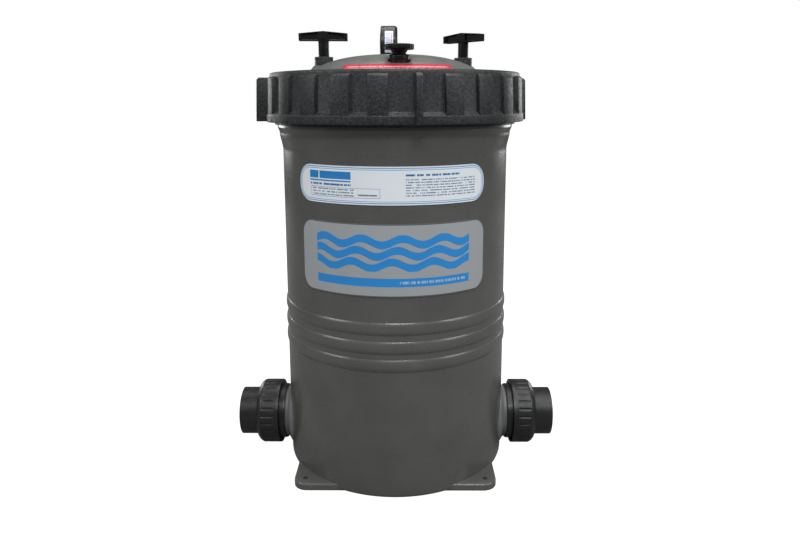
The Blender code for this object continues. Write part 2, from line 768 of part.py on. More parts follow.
def turned_sheet(name, line, degrees, steps, thick, finish, place):
    """A thin sheet that follows a turned surface through part of a turn, thickened inwards."""
    bm = bmesh.new()
    verts = [bm.verts.new((r * MM, 0, z * MM)) for r, z in line]
    edges = [bm.edges.new(pair) for pair in zip(verts, verts[1:])]
    bmesh.ops.spin(
        bm,
        geom=verts + edges,
        cent=(0, 0, 0),
        axis=(0, 0, 1),
        angle=math.radians(degrees),
        steps=steps,
        use_merge=False,
    )
    bmesh.ops.recalc_face_normals(bm, faces=bm.faces)
    if sum((f.normal.dot(f.calc_center_median()) for f in bm.faces)) < 0:
        bmesh.ops.reverse_faces(bm, faces=bm.faces)
    obj = from_bmesh(name, bm, finish, **place)
    shell = obj.modifiers.new("Thickness", "SOLIDIFY")
    shell.thickness = thick * MM
    shell.offset = -1
    return obj


def wall_label(name, label, finish):
    """A label with rounded corners that follows the tank's tapered front."""
    centre, length, bottom, top, corner = label
    middle_z = (bottom + top) / 2
    half_length, half_height = length / 2, (top - bottom) / 2
    columns = []
    for i in range(5):
        a = math.radians(90 * i / 4)
        columns.append(
            (half_length - corner * (1 - math.sin(a)), half_height - corner * (1 - math.cos(a)))
        )
    straight = half_length - corner
    inner = [(straight * i / 8, half_height) for i in range(8)]
    right = inner + columns
    full = [(-u, h) for u, h in reversed(right[1:])] + right
    bm = bmesh.new()
    rows = []
    for u, h in full:
        pair = []
        for z in (middle_z - h, middle_z + h):
            radius = wall_radius(z) + LABEL_GAP + LABEL_THICK
            a = -math.pi / 2 + centre + u / wall_radius(middle_z)
            pair.append(bm.verts.new((radius * math.cos(a) * MM, radius * math.sin(a) * MM, z * MM)))
        rows.append(pair)
    for first, second in zip(rows, rows[1:]):
        bm.faces.new((first[0], second[0], second[1], first[1]))
    obj = from_bmesh(name, bm, finish)
    shell = obj.modifiers.new("Thickness", "SOLIDIFY")
    shell.thickness = LABEL_THICK * MM
    shell.offset = -1
    return obj


def build_warning_label(finish):
    """A curved strip on the dome's front slope, just inside the lock ring."""
    line = [(r, dome_height(r) + LABEL_GAP + STRIP_THICK) for r in STRIP_RADII]
    label = turned_sheet("warning_label", line, STRIP_DEGREES, 14, STRIP_THICK, finish, {})
    label.rotation_euler = (0, 0, math.radians(-90 - STRIP_DEGREES / 2 + STRIP_CENTRE))


# cartridge


def end_cap(hole_r):
    """A cartridge end cap with its rim up: outer side down, then the inner side up."""
    low = CARTRIDGE_BOTTOM
    points = [
        (CARTRIDGE_R, low + CAP_RIM),
        (CARTRIDGE_R, low + 1.5),
        (CARTRIDGE_R - 1.5, low),
        (hole_r, low),
        (hole_r, low + CAP_FLOOR),
        (CARTRIDGE_R - 2.4, low + CAP_FLOOR),
        (CARTRIDGE_R - 2.4, low + CAP_RIM),
    ]
    return points


def build_cartridge(media, cap, plastic, band):
    turned("cartridge_bottom_cap", end_cap(SEAT_SPIGOT_R + 0.8), cap, LARGE, closed=True)
    turned("cartridge_top_cap", top_cap(), cap, LARGE)
    low, high = CARTRIDGE_BOTTOM + CAP_FLOOR + GAP, CARTRIDGE_TOP - CAP_FLOOR - GAP
    star = toothed_outline(PLEATS, PLEAT_OUTER_R, PLEAT_INNER_R, 0.5, flank=0.34)
    pack = prism("cartridge_media", star, low, high, media)
    cut(pack, cylinder("media_hole", CORE_R + 1.0, low - 5, high + 5, steps=MEDIUM))
    core = turned(
        "cartridge_core",
        [(CORE_R, high), (CORE_R, low), (CORE_R - CORE_WALL, low), (CORE_R - CORE_WALL, high)],
        plastic,
        MEDIUM,
        closed=True,
    )
    slot_rows, slot_turns = 3, 3
    for row in range(slot_rows):
        z = low + (row + 0.5) * (high - low) / slot_rows
        for i in range(slot_turns):
            turn = (0, 0, math.radians(180 / slot_turns * i + 15))
            cut(core, box(f"core_slot_{row}_{i}", (100, 10, 100), (0, 0, z), turn=turn))
    for name, share in (("lower", 0.33), ("upper", 0.67)):
        z = low + (high - low) * share
        ring = [
            (BAND_INNER_R + 1.2, z + 7),
            (BAND_INNER_R + 1.2, z - 7),
            (BAND_INNER_R, z - 7),
            (BAND_INNER_R, z + 7),
        ]
        turned(f"cartridge_{name}_band", ring, band, LARGE, closed=True)


def top_cap():
    """The top cap's profile: closed across the middle, with its rim hanging down."""
    high = CARTRIDGE_TOP
    return [
        (0.0, high),
        (CARTRIDGE_R - 1.5, high),
        (CARTRIDGE_R, high - 1.5),
        (CARTRIDGE_R, high - CAP_RIM),
        (CARTRIDGE_R - 2.4, high - CAP_RIM),
        (CARTRIDGE_R - 2.4, high - CAP_FLOOR),
        (0.0, high - CAP_FLOOR),
    ]


# pipework inside the tank


def build_outlet_elbow(finish):
    place = {"at": (0, 0, PORT_Z), "turn": along_x(1)}
    elbow = cylinder("outlet_elbow", ELBOW_R, -ELBOW_R, PORT_INNER_FACE - GAP, finish, LITTLE, **place)
    join(elbow, cylinder("elbow_riser", ELBOW_R - 0.6, PORT_Z, ELBOW_FLANGE[2] - 1.0, steps=LITTLE))
    join(elbow, cylinder("elbow_flange", *ELBOW_FLANGE, steps=LITTLE))
    join(elbow, cylinder("elbow_spigot", INSERT_R, 140, INSERT_END, steps=LITTLE, **place))
    join(elbow, cylinder("elbow_foot", 17.0, FLOOR + GAP, 28.0, steps=SMALL))
    cut(elbow, cylinder("elbow_bore", ELBOW_BORE_R, -ELBOW_BORE_R, 190, steps=LITTLE, **place))
    cut(elbow, cylinder("elbow_riser_bore", ELBOW_BORE_R - 0.6, PORT_Z, 100, steps=LITTLE))
    cut(elbow, cylinder("elbow_tube_hole", RELIEF_TUBE_R + GAP, 20.0, 45.0, steps=12))


def build_seat(finish, rubber):
    top, floor, groove = SEAT_TOP, ELBOW_FLANGE[2] + GAP, SEAT_GROOVE
    seat = [
        (SEAT_SPIGOT_R - 1.0, top),
        (SEAT_SPIGOT_R, top - 1.0),
        (SEAT_SPIGOT_R, groove[1]),
        (SEAT_SPIGOT_R - 3.3, groove[1]),
        (SEAT_SPIGOT_R - 3.3, groove[0]),
        (SEAT_SPIGOT_R, groove[0]),
        (SEAT_SPIGOT_R, CARTRIDGE_BOTTOM - GAP),
        (SEAT_FLANGE_R, CARTRIDGE_BOTTOM - GAP),
        (SEAT_FLANGE_R, floor),
        (SEAT_BORE_R, floor),
        (SEAT_BORE_R, top),
    ]
    turned("cartridge_seat", seat, finish, LITTLE, closed=True)
    o_ring = ring_section(SEAT_SPIGOT_R - 1.2, 1.65, sum(SEAT_GROOVE) / 2)
    turned("seat_o_ring", o_ring, rubber, LITTLE, closed=True)


def build_relief_tube(finish, screen):
    tube = [
        (RELIEF_TUBE_R, RELIEF_TUBE_TOP),
        (RELIEF_TUBE_R, RELIEF_TUBE_BOTTOM),
        (RELIEF_TUBE_R - 1.6, RELIEF_TUBE_BOTTOM),
        (RELIEF_TUBE_R - 1.6, RELIEF_TUBE_TOP),
    ]
    turned("air_relief_tube", tube, finish, 12, closed=True)
    top, low = RELIEF_TUBE_TOP + 8.0, RELIEF_TUBE_TOP - 10.0
    cup = cylinder("air_relief_screen", 8.5, low, top, screen, 12)
    cut(cup, cylinder("screen_socket", RELIEF_TUBE_R + GAP, low - 5, RELIEF_TUBE_TOP + 0.5, steps=12))
    cut(cup, cylinder("screen_hole", 2.0, RELIEF_TUBE_TOP - 2, top + 5, steps=8))


def build_inlet_diffuser(finish):
    place = {"at": (0, 0, PORT_Z), "turn": along_x(-1)}
    face = PORT_INNER_FACE - GAP
    profile = [
        (INSERT_R, INSERT_END),
        (INSERT_R, face),
        (35.0, face),
        (35.0, face - 4.0),
        (21.5, face - 4.0),
        (21.5, INSERT_END),
    ]
    diffuser = turned("inlet_diffuser", profile, finish, MEDIUM, closed=True, **place)
    join(diffuser, cylinder("diffuser_disc", 33.0, 124.0, 127.0, steps=MEDIUM, **place))
    for i in range(4):
        centre = (29.0, 0, (face - 2 + 125.5) / 2)
        leg = box(f"diffuser_leg_{i}", (5.0, 5.0, face - 2 - 125.5), centre, **place)
        leg.rotation_euler = (along_x(-1) @ Matrix.Rotation(math.radians(45 + 90 * i), 4, "Z")).to_euler()
        join(diffuser, leg)


# unions and drain


def tail_profile():
    """The union tail, with its open end up."""
    socket_floor = TAIL_END - TAIL_SOCKET_DEPTH
    face = PORT_FACE + 0.6
    return [
        (TAIL_R - 1.5, TAIL_END),
        (TAIL_R, TAIL_END - 1.5),
        (TAIL_R, TAIL_FLANGE_END),
        (TAIL_FLANGE_R, TAIL_FLANGE_END),
        (TAIL_FLANGE_R, face),
        (36.4, face),
        (36.4, face + 3.6),
        (31.6, face + 3.6),
        (31.6, face),
        (PORT_BORE_R, face),
        (PORT_BORE_R, socket_floor),
        (TAIL_SOCKET_R, socket_floor),
        (TAIL_SOCKET_R, TAIL_END - 1.0),
        (TAIL_SOCKET_R + 1.0, TAIL_END),
    ]


def nut_profile():
    """The union nut: collar, ribbed stretch and rounded shoulder outside, thread bore and shoulder inside."""
    shoulder = TAIL_FLANGE_END + GAP + 0.2
    return [
        (39.6, UNION_NUT_END),
        (44.6, UNION_NUT_END - 1.6),
        (48.0, UNION_NUT_END - 5.0),
        (UNION_RIB_R - 0.4, UNION_RIB_END),
        (UNION_RIB_R, UNION_RIB_END - 2.0),
        (UNION_RIB_R, UNION_START + 0.8),
        (UNION_RIB_R - 0.8, UNION_START),
        (44.0, UNION_START),
        (44.0, shoulder),
        (TAIL_R + 0.9, shoulder),
        (TAIL_R + 0.9, UNION_NUT_END),
    ]


def build_union(name, side, black, rubber):
    place = {"at": (0, 0, PORT_Z), "turn": along_x(side)}
    turned(f"{name}_union_tail", tail_profile(), black, MEDIUM, closed=True, **place)
    o_ring = ring_section(34.0, 1.9, PORT_FACE + GAP + 1.9)
    turned(f"{name}_union_o_ring", o_ring, rubber, MEDIUM, closed=True, **place)
    turned(f"{name}_union_nut", nut_profile(), black, MEDIUM, closed=True, **place)


def build_drain(black, rubber):
    place = {"at": (0, 0, DRAIN_Z), "turn": (-math.pi / 2, 0, 0)}
    face = DRAIN_FACE + 1.3
    profile = [
        (0.0, face + 4.0),
        (PLUG_HEAD_R - 0.7, face + 4.0),
        (PLUG_HEAD_R, face + 3.3),
        (PLUG_HEAD_R, face),
        (PLUG_HEAD_R - 1.6, face),
        (PLUG_HEAD_R - 1.6, face + 1.7),
        (PLUG_STEM_R, face + 1.7),
        (PLUG_STEM_R, PLUG_END + 1.0),
        (PLUG_STEM_R - 1.0, PLUG_END),
        (0.0, PLUG_END),
    ]
    plug = turned("drain_plug", profile, black, SMALL, **place)
    join(plug, prism("drain_plug_head", hexagon(19.0), face + 3.0, face + 10.2, **place))
    o_ring = ring_section(10.3, 1.3, DRAIN_FACE + GAP + 1.3)
    turned("drain_o_ring", o_ring, rubber, SMALL, closed=True, **place)


# assembly


def main():
    grey = material("moulded grey plastic", (0.082, 0.083, 0.078), 0.38)
    dark_grey = material("lid grey plastic", (0.105, 0.108, 0.106), 0.4)
    black = material("textured black plastic", (0.024, 0.026, 0.027), 0.55)
    gloss_black = material("glossy black plastic", (0.02, 0.02, 0.021), 0.35)
    white_plastic = material("white plastic", (0.75, 0.76, 0.75), 0.45)
    rubber = material("black rubber", (0.012, 0.012, 0.012), 0.75)
    steel = material("stainless steel", (0.6, 0.6, 0.6), 0.3, 1.0)
    brass = material("brass", (0.72, 0.5, 0.2), 0.35, 1.0)
    clear = material("clear polycarbonate", (0.6, 0.62, 0.63), 0.1)
    white = material("printed white film", (0.62, 0.68, 0.75), 0.4)
    silver = material("printed silver film", (0.3, 0.32, 0.34), 0.35, 0.3)
    red = material("printed red film", (0.6, 0.03, 0.05), 0.45)
    media = material("pleated polyester cloth", (0.78, 0.8, 0.82), 0.9)
    blue = material("blue moulded polyurethane", (0.03, 0.12, 0.35), 0.55)

    build_tank(grey)
    build_lock_ring(black)
    build_lid(dark_grey)
    lid_o_ring = ring_section(SPIGOT_R - 2.3, 2.75, sum(LID_GROOVE) / 2)
    turned("lid_o_ring", lid_o_ring, rubber, LARGE, closed=True)
    for name, side, angle in HANDLES:
        build_handle(name, side, angle, gloss_black, steel, black)
    build_bleed_valve(gloss_black, steel, rubber)
    build_gauge(gloss_black, clear, white, red, brass, steel, rubber)
    build_warning_label(red)
    wall_label("name_badge", BADGE, silver)
    wall_label("instruction_label", INSTRUCTIONS, white)
    build_cartridge(media, blue, white_plastic, white_plastic)
    build_outlet_elbow(white_plastic)
    build_seat(white_plastic, rubber)
    build_relief_tube(white_plastic, white_plastic)
    build_inlet_diffuser(white_plastic)
    for name, side in (("left", -1), ("right", 1)):
        build_union(name, side, gloss_black, rubber)
    build_drain(gloss_black, rubber)


clear_scene()
PARTS = new_collection("cartridge_filter_housing")
CUTTERS = new_collection("cutters")
main()
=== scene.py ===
# Cartridge filter housing for a pool: the finished look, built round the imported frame.
import math

import bmesh
import bpy
from mathutils import Matrix, Vector


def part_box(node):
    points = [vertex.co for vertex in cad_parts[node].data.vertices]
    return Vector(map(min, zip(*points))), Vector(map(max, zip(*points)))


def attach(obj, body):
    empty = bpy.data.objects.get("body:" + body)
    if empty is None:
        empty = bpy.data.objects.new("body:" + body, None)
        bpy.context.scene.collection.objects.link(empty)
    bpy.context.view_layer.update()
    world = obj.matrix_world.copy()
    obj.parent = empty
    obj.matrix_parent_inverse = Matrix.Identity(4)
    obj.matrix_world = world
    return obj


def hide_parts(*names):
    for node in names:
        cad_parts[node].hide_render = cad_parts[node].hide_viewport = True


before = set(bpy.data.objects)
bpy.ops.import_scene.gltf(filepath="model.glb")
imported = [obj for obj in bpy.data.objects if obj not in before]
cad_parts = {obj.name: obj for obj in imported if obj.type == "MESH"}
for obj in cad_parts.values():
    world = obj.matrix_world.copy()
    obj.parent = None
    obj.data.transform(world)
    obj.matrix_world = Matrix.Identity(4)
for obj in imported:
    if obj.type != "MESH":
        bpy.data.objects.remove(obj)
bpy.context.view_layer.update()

mm = 0.001


def toLinear(hexColour):
    values = [int(hexColour[i:i + 2], 16) / 255 for i in (1, 3, 5)]
    return tuple(v / 12.92 if v <= 0.04045 else ((v + 0.055) / 1.055) ** 2.4 for v in values)


def addNode(tree, kind, settings=None, inputs=None):
    # settings are the node's own fields; inputs hold constants, or the socket that feeds one
    node = tree.nodes.new(kind)
    for key, value in (settings or {}).items():
        setattr(node, key, value)
    for key, value in (inputs or {}).items():
        if isinstance(value, bpy.types.NodeSocket):
            tree.links.new(value, node.inputs[key])
        else:
            node.inputs[key].default_value = value
    return node


def softCorners(points, steps=4):
    # rounds each corner that gives a third number, its radius, in an outline of (r, z) points
    made = []
    count = len(points)
    for i, point in enumerate(points):
        radius = point[2] if len(point) > 2 else 0
        here = Vector(point[:2])
        if not radius or i in (0, count - 1):
            made.append(tuple(here))
            continue
        before = Vector(points[i - 1][:2]) - here
        after = Vector(points[i + 1][:2]) - here
        half = before.angle(after) / 2
        reach = min(radius / math.tan(half), before.length * 0.49, after.length * 0.49)
        start, end = here + before.normalized() * reach, here + after.normalized() * reach
        for k in range(steps + 1):
            t = k / steps
            made.append(tuple((1 - t) ** 2 * start + 2 * t * (1 - t) * here + t * t * end))
    return made


def finishShape(name, bm, place=None, sharp=30):
    if place is not None:
        bmesh.ops.transform(bm, matrix=place, verts=bm.verts)
    mesh = bpy.data.meshes.new(name)
    bm.to_mesh(mesh)
    bm.free()
    mesh.shade_smooth()
    mesh.set_sharp_from_angle(angle=math.radians(sharp))
    obj = bpy.data.objects.new(name, mesh)
    bpy.context.scene.collection.objects.link(obj)
    return obj


def spinShape(name, outline, closed=False, steps=96, place=None, rounding=4, sharp=30):
    # turns an outline of (radius, height) points in mm about Z
    bm = bmesh.new()
    verts = [bm.verts.new((r * mm, 0, z * mm)) for r, z in softCorners(outline, rounding)]
    ends = verts[1:] + verts[:1] if closed else verts[1:]
    edges = [bm.edges.new(pair) for pair in zip(verts, ends)]
    bmesh.ops.spin(bm, geom=verts + edges, cent=(0, 0, 0), axis=(0, 0, 1), angle=2 * math.pi,
                   steps=steps, use_merge=True)
    bmesh.ops.remove_doubles(bm, verts=bm.verts, dist=1e-6)
    bmesh.ops.recalc_face_normals(bm, faces=bm.faces)
    return finishShape(name, bm, place, sharp)


def bevelAll(bm, geom, offset, segments=3):
    bmesh.ops.bevel(bm, geom=geom, offset=offset * mm, offset_type="OFFSET", segments=segments,
                    profile=0.5, affect="EDGES", material=-1, clamp_overlap=True)


def sheetMesh(rows):
    # an open sheet from rows of pairs: a place, and where it lies in the flat artwork, both in mm
    bm = bmesh.new()
    layer = bm.loops.layers.uv.new("artwork")
    flat, lines = {}, []
    for row in rows:
        line = []
        for at, spot in row:
            v = bm.verts.new([c * mm for c in at])
            flat[v] = [c * mm for c in spot]
            line.append(v)
        lines.append(line)
    for first, second in zip(lines, lines[1:]):
        for k in range(len(first) - 1):
            face = bm.faces.new((first[k], first[k + 1], second[k + 1], second[k]))
            for loop in face.loops:
                loop[layer].uv = flat[loop.vert]
    bmesh.ops.recalc_face_normals(bm, faces=bm.faces)
    return bm


def thickenSheet(bm, thick, axisPoint):
    # gives a curved sheet a back: each point's copy moves towards the nearest point of the curve's axis
    made = bmesh.ops.extrude_face_region(bm, geom=bm.faces[:], use_keep_orig=True)["geom"]
    for v in made:
        if isinstance(v, bmesh.types.BMVert):
            inward = axisPoint(v.co) - v.co
            v.co += inward.normalized() * thick * mm
    bmesh.ops.recalc_face_normals(bm, faces=bm.faces)


def boxMesh(bm, size, centre, turn=None):
    place = (turn or Matrix()) @ Matrix.Translation(Vector(centre) * mm)
    matrix = place @ Matrix.Diagonal((*(Vector(size) * mm), 1))
    return bmesh.ops.create_cube(bm, size=1, matrix=matrix)["verts"]


def cutAway(obj, cutters, operation="DIFFERENCE"):
    # a Boolean whose result is kept and whose cutters are thrown away
    for cutter in cutters:
        change = obj.modifiers.new("cut", "BOOLEAN")
        change.operation = operation
        change.solver = "EXACT"
        change.object = cutter
    graph = bpy.context.evaluated_depsgraph_get()
    mesh = bpy.data.meshes.new_from_object(obj.evaluated_get(graph))
    obj.modifiers.clear()
    obj.data = mesh
    mesh.name = obj.name
    for cutter in cutters:
        bpy.data.objects.remove(cutter)
    bm = bmesh.new()
    bm.from_mesh(mesh)
    bmesh.ops.remove_doubles(bm, verts=bm.verts, dist=1e-6)
    bm.to_mesh(mesh)
    bm.free()
    mesh.shade_smooth()
    mesh.set_sharp_from_angle(angle=math.radians(30))
    return obj


def cylinderMesh(bm, radius, low, high, place=None, segments=48):
    at = (place or Matrix()) @ Matrix.Translation((0, 0, (low + high) / 2 * mm))
    bmesh.ops.create_cone(bm, cap_ends=True, segments=segments, radius1=radius * mm, radius2=radius * mm,
                          depth=(high - low) * mm, matrix=at)


def cylinderShape(name, radius, low, high, place=None, segments=48):
    bm = bmesh.new()
    cylinderMesh(bm, radius, low, high, place, segments)
    return finishShape(name, bm)


def dress(obj, body, look, *nodes):
    # look is the key of a finish, or a slot with a material of its own
    slot, material = look if isinstance(look, tuple) else (finishes[look]["slot"], mats[look])
    obj.data.materials.clear()
    obj.data.materials.append(material)
    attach(obj, body)
    if nodes:
        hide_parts(*nodes)


def boxOf(node):
    low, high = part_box(node)
    return Vector(low) / mm, Vector(high) / mm


def middleOf(node):
    low, high = boxOf(node)
    return (low + high) / 2


def alongX(side, height):
    # lays a turned shape's own axis along X at a height in mm
    return Matrix.Translation((0, 0, height * mm)) @ Matrix.Rotation(side * math.pi / 2, 4, "Y")


def alongY(height):
    # the same along Y, pointing to the back
    return Matrix.Translation((0, 0, height * mm)) @ Matrix.Rotation(-math.pi / 2, 4, "X")


def standAt(point):
    # moves a turned shape so that its axis passes through a point
    return Matrix.Translation((point.x * mm, point.y * mm, 0))


def plainMaterial(name, baseHex, roughness, settings=None):
    material = bpy.data.materials.new(name)
    material.use_nodes = True
    tree = material.node_tree
    shader = tree.nodes["Principled BSDF"]
    shader.inputs["Base Color"].default_value = (*toLinear(baseHex), 1)
    shader.inputs["Roughness"].default_value = roughness
    for key, value in (settings or {}).items():
        shader.inputs[key].default_value = value
    return material, tree, shader


def addNoise(tree, size, detail, settings=None):
    # cloudy noise in the piece's own space, about size mm across
    coords = addNode(tree, "ShaderNodeTexCoord").outputs["Object"]
    inputs = {"Vector": coords, "Scale": 1 / (size * mm), "Detail": detail, **(settings or {})}
    return addNode(tree, "ShaderNodeTexNoise", None, inputs).outputs["Fac"]


def addGrain(tree, shader, grain):
    # fine bumps; grain holds their size and depth in mm, and their strength
    noise = addNoise(tree, grain["size"], grain.get("detail", 4), {"Roughness": 0.6})
    bump = addNode(tree, "ShaderNodeBump", None,
                   {"Height": noise, "Strength": grain["strength"], "Distance": grain["depth"] * mm})
    tree.links.new(bump.outputs["Normal"], shader.inputs["Normal"])


def addMottle(tree, shader, darkHex, lightHex, size, low=0.35, high=0.65):
    # slow colour variation between two close colours
    spread = addNode(tree, "ShaderNodeMapRange", None,
                     {"Value": addNoise(tree, size, 3), "From Min": low, "From Max": high})
    tree.links.new(paintOver(tree, darkHex, spread.outputs["Result"], lightHex), shader.inputs["Base Color"])


def addShine(tree, shader, low, high, size):
    # roughness that drifts between low and high
    spread = addNode(tree, "ShaderNodeMapRange", None,
                     {"Value": addNoise(tree, size, 2), "From Min": 0.35, "From Max": 0.65, "To Min": low,
                      "To Max": high})
    tree.links.new(spread.outputs["Result"], shader.inputs["Roughness"])


def paintOver(tree, under, mask, over):
    # under and over are hex colours, or sockets
    sides = [c if isinstance(c, bpy.types.NodeSocket) else (*toLinear(c), 1) for c in (under, over)]
    return addNode(tree, "ShaderNodeMix", {"data_type": "RGBA"},
                   {"Factor": mask, 6: sides[0], 7: sides[1]}).outputs[2]


# mottle: two colours and a size in mm, and where the noise is cut; shine: two roughnesses and a size
finishes = {
    # glass-filled polypropylene, blow moulded: a glossy skin with a faint orange peel
    "grey": {"name": "moulded polypropylene, grey", "slot": "moulded_grey", "base": "#575855",
             "roughness": 0.3, "settings": {"IOR": 1.49, "Coat Weight": 0.25, "Coat Roughness": 0.12},
             "mottle": ("#535451", "#5a5b58", 60), "shine": (0.27, 0.34, 25),
             "grain": {"size": 7, "depth": 0.05, "strength": 0.25, "detail": 1}},
    # the port necks: the same plastic as the tank, painted paler for the light that falls on them
    "neck": {"name": "moulded polypropylene, port grey with painted light", "slot": "moulded_grey", "base": "#6c6d6e",
             "roughness": 0.36, "settings": {"IOR": 1.49}, "mottle": ("#666768", "#727374", 20),
             "grain": {"size": 3, "depth": 0.04, "strength": 0.35, "detail": 3}},
    # the same plastic on the lid, painted a little paler for the light that falls on the dome's top
    "lid": {"name": "moulded polypropylene, lid grey with painted light", "slot": "lid_grey", "base": "#5e605e",
            "roughness": 0.34, "settings": {"IOR": 1.49}, "mottle": ("#595b59", "#636563", 40),
            "shine": (0.32, 0.42, 20), "grain": {"size": 4, "depth": 0.05, "strength": 0.4, "detail": 3}},
    # glass-filled nylon from a spark-eroded mould: dull black, a leathery grain and pale scuffs
    "ring": {"name": "glass-filled nylon, black", "slot": "ring_black", "base": "#1f2122",
             "roughness": 0.5, "settings": {"IOR": 1.53}, "mottle": ("#131415", "#303335", 2.6, 0.4, 0.62),
             "shine": (0.4, 0.62, 3), "grain": {"size": 1.8, "depth": 0.4, "strength": 0.8, "detail": 5}},
    # injection moulded acetal: smooth and dark with a soft shine
    "gloss": {"name": "moulded acetal, black", "slot": "gloss_black", "base": "#090a0a",
              "roughness": 0.33, "settings": {"IOR": 1.44}, "mottle": ("#070808", "#0e0f0f", 12),
              "grain": {"size": 2.5, "depth": 0.04, "strength": 0.4}},
    # rigid PVC in charcoal: satin, with faint flow marks
    "union": {"name": "rigid PVC, charcoal", "slot": "union_black", "base": "#191a1b",
              "roughness": 0.34, "settings": {"IOR": 1.54}, "mottle": ("#161718", "#1e1f21", 18),
              "shine": (0.33, 0.44, 8), "grain": {"size": 2, "depth": 0.06, "strength": 0.4}},
    # nitrile rubber: matt, with a dusty bloom
    "rubber": {"name": "nitrile rubber, black", "slot": "rubber", "base": "#141414",
               "roughness": 0.75, "settings": {"IOR": 1.52}, "mottle": ("#101010", "#1c1c1c", 6),
               "grain": {"size": 0.8, "depth": 0.05, "strength": 0.5}},
    # stainless steel, turned: fine rings and a bright face
    "steel": {"name": "stainless steel, turned", "slot": "steel", "base": "#c4c4c2",
              "roughness": 0.28, "settings": {"Metallic": 1.0}, "shine": (0.22, 0.36, 1.5),
              "grain": {"size": 0.6, "depth": 0.02, "strength": 0.3}},
    # brass bar, machined: warm metal with a slight tarnish
    "brass": {"name": "brass, machined", "base": "#c9a257", "roughness": 0.3,
              "settings": {"Metallic": 1.0}, "mottle": ("#b58f49", "#d3ae66", 5), "shine": (0.24, 0.4, 2)},
    # moulded ABS: slightly glossy and a little yellow with age
    "white": {"name": "moulded ABS, white", "slot": "white_plastic", "base": "#dcdcd6",
              "roughness": 0.4, "settings": {"IOR": 1.53}, "mottle": ("#d6d6ce", "#e2e2de", 30),
              "grain": {"size": 3, "depth": 0.04, "strength": 0.35}},
    # cast polyurethane end caps: soft satin blue
    "blue": {"name": "cast polyurethane, blue", "slot": "blue_cap", "base": "#245a9c",
             "roughness": 0.5, "settings": {"IOR": 1.5}, "mottle": ("#20528f", "#2963a8", 25),
             "grain": {"size": 2, "depth": 0.08, "strength": 0.4}},
    # spunbond polyester: felted fibres, drawn coarser than the real ones so that they show
    "cloth": {"name": "spunbond polyester, white", "slot": "filter_cloth", "base": "#e6e8ea",
              "roughness": 0.85, "settings": {"IOR": 1.5, "Sheen Weight": 0.3},
              "mottle": ("#d9dcdf", "#eceef0", 4),
              "grain": {"size": 0.7, "depth": 0.15, "strength": 0.6, "detail": 8}},
    # moulded polycarbonate window
    "lens": {"name": "moulded polycarbonate, clear", "slot": "clear_lens", "base": "#eef1f2",
             "roughness": 0.06, "settings": {"IOR": 1.58, "Transmission Weight": 0.92},
             "shine": (0.04, 0.1, 8)},
    # enamelled pointer
    "red": {"name": "enamel, red", "base": "#b3202a", "roughness": 0.4, "settings": {"IOR": 1.5},
            "grain": {"size": 1, "depth": 0.02, "strength": 0.3}},
    # paper-white printed film on the gauge
    "print": {"name": "printed film, white", "slot": "white_print", "base": "#e9ecef",
              "roughness": 0.45, "settings": {"IOR": 1.5}, "mottle": ("#e3e6ea", "#eef0f2", 10)},
    # screen-printed ink
    "ink": {"name": "screen-print ink, black", "slot": "white_print", "base": "#17181a",
            "roughness": 0.5, "grain": {"size": 0.5, "depth": 0.01, "strength": 0.3}},
}


def makeFinish(look):
    material, tree, shader = plainMaterial(look["name"], look["base"], look["roughness"],
                                           look.get("settings"))
    if "mottle" in look:
        addMottle(tree, shader, *look["mottle"])
    if "shine" in look:
        addShine(tree, shader, *look["shine"])
    if "grain" in look:
        addGrain(tree, shader, look["grain"])
    return material


mats = {key: makeFinish(look) for key, look in finishes.items()}
print("materials made")


# each label's artwork is drawn in its own flat coordinates, in metres from its middle
printEdge = 0.08  # half the blur at the edge of a rounded print, in mm


def calc(tree, operation, *values):
    # one sum, of numbers or sockets
    return addNode(tree, "ShaderNodeMath", {"operation": operation}, dict(enumerate(values))).outputs[0]


def splitCoords(tree, coords):
    split = addNode(tree, "ShaderNodeSeparateXYZ", None, {0: coords})
    return split.outputs["X"], split.outputs["Y"]


def drawBox(tree, coords, box, corner=0.0):
    # 1 inside a box of (left, low, right, high) in mm, whose corners may be round
    left, low, right, high = box
    middle = ((left + right) / 2 * mm, (low + high) / 2 * mm, 0)
    away = addNode(tree, "ShaderNodeVectorMath", {"operation": "SUBTRACT"}, {0: coords, 1: middle})
    size = addNode(tree, "ShaderNodeVectorMath", {"operation": "ABSOLUTE"}, {0: away.outputs[0]})
    x, y = splitCoords(tree, size.outputs[0])
    across = calc(tree, "SUBTRACT", x, ((right - left) / 2 - corner) * mm)
    up = calc(tree, "SUBTRACT", y, ((high - low) / 2 - corner) * mm)
    squares = [calc(tree, "POWER", calc(tree, "MAXIMUM", v, 0.0), 2.0) for v in (across, up)]
    distance = calc(tree, "SQRT", calc(tree, "ADD", *squares))
    if not corner:
        return calc(tree, "LESS_THAN", distance, printEdge * mm)
    return addNode(tree, "ShaderNodeMapRange", None,
                   {"Value": distance, "From Min": corner * mm + printEdge * mm,
                    "From Max": corner * mm - printEdge * mm}).outputs["Result"]


def joinMasks(tree, masks):
    total = masks[0]
    for mask in masks[1:]:
        total = calc(tree, "MAXIMUM", total, mask)
    return total


def drawOutline(tree, coords, box, thick, corner=0.0):
    # a line of one thickness just inside a box
    left, low, right, high = box
    hole = (left + thick, low + thick, right - thick, high - thick)
    inner = drawBox(tree, coords, hole, max(0.0, corner - thick))
    return calc(tree, "MAXIMUM", calc(tree, "SUBTRACT", drawBox(tree, coords, box, corner), inner), 0.0)


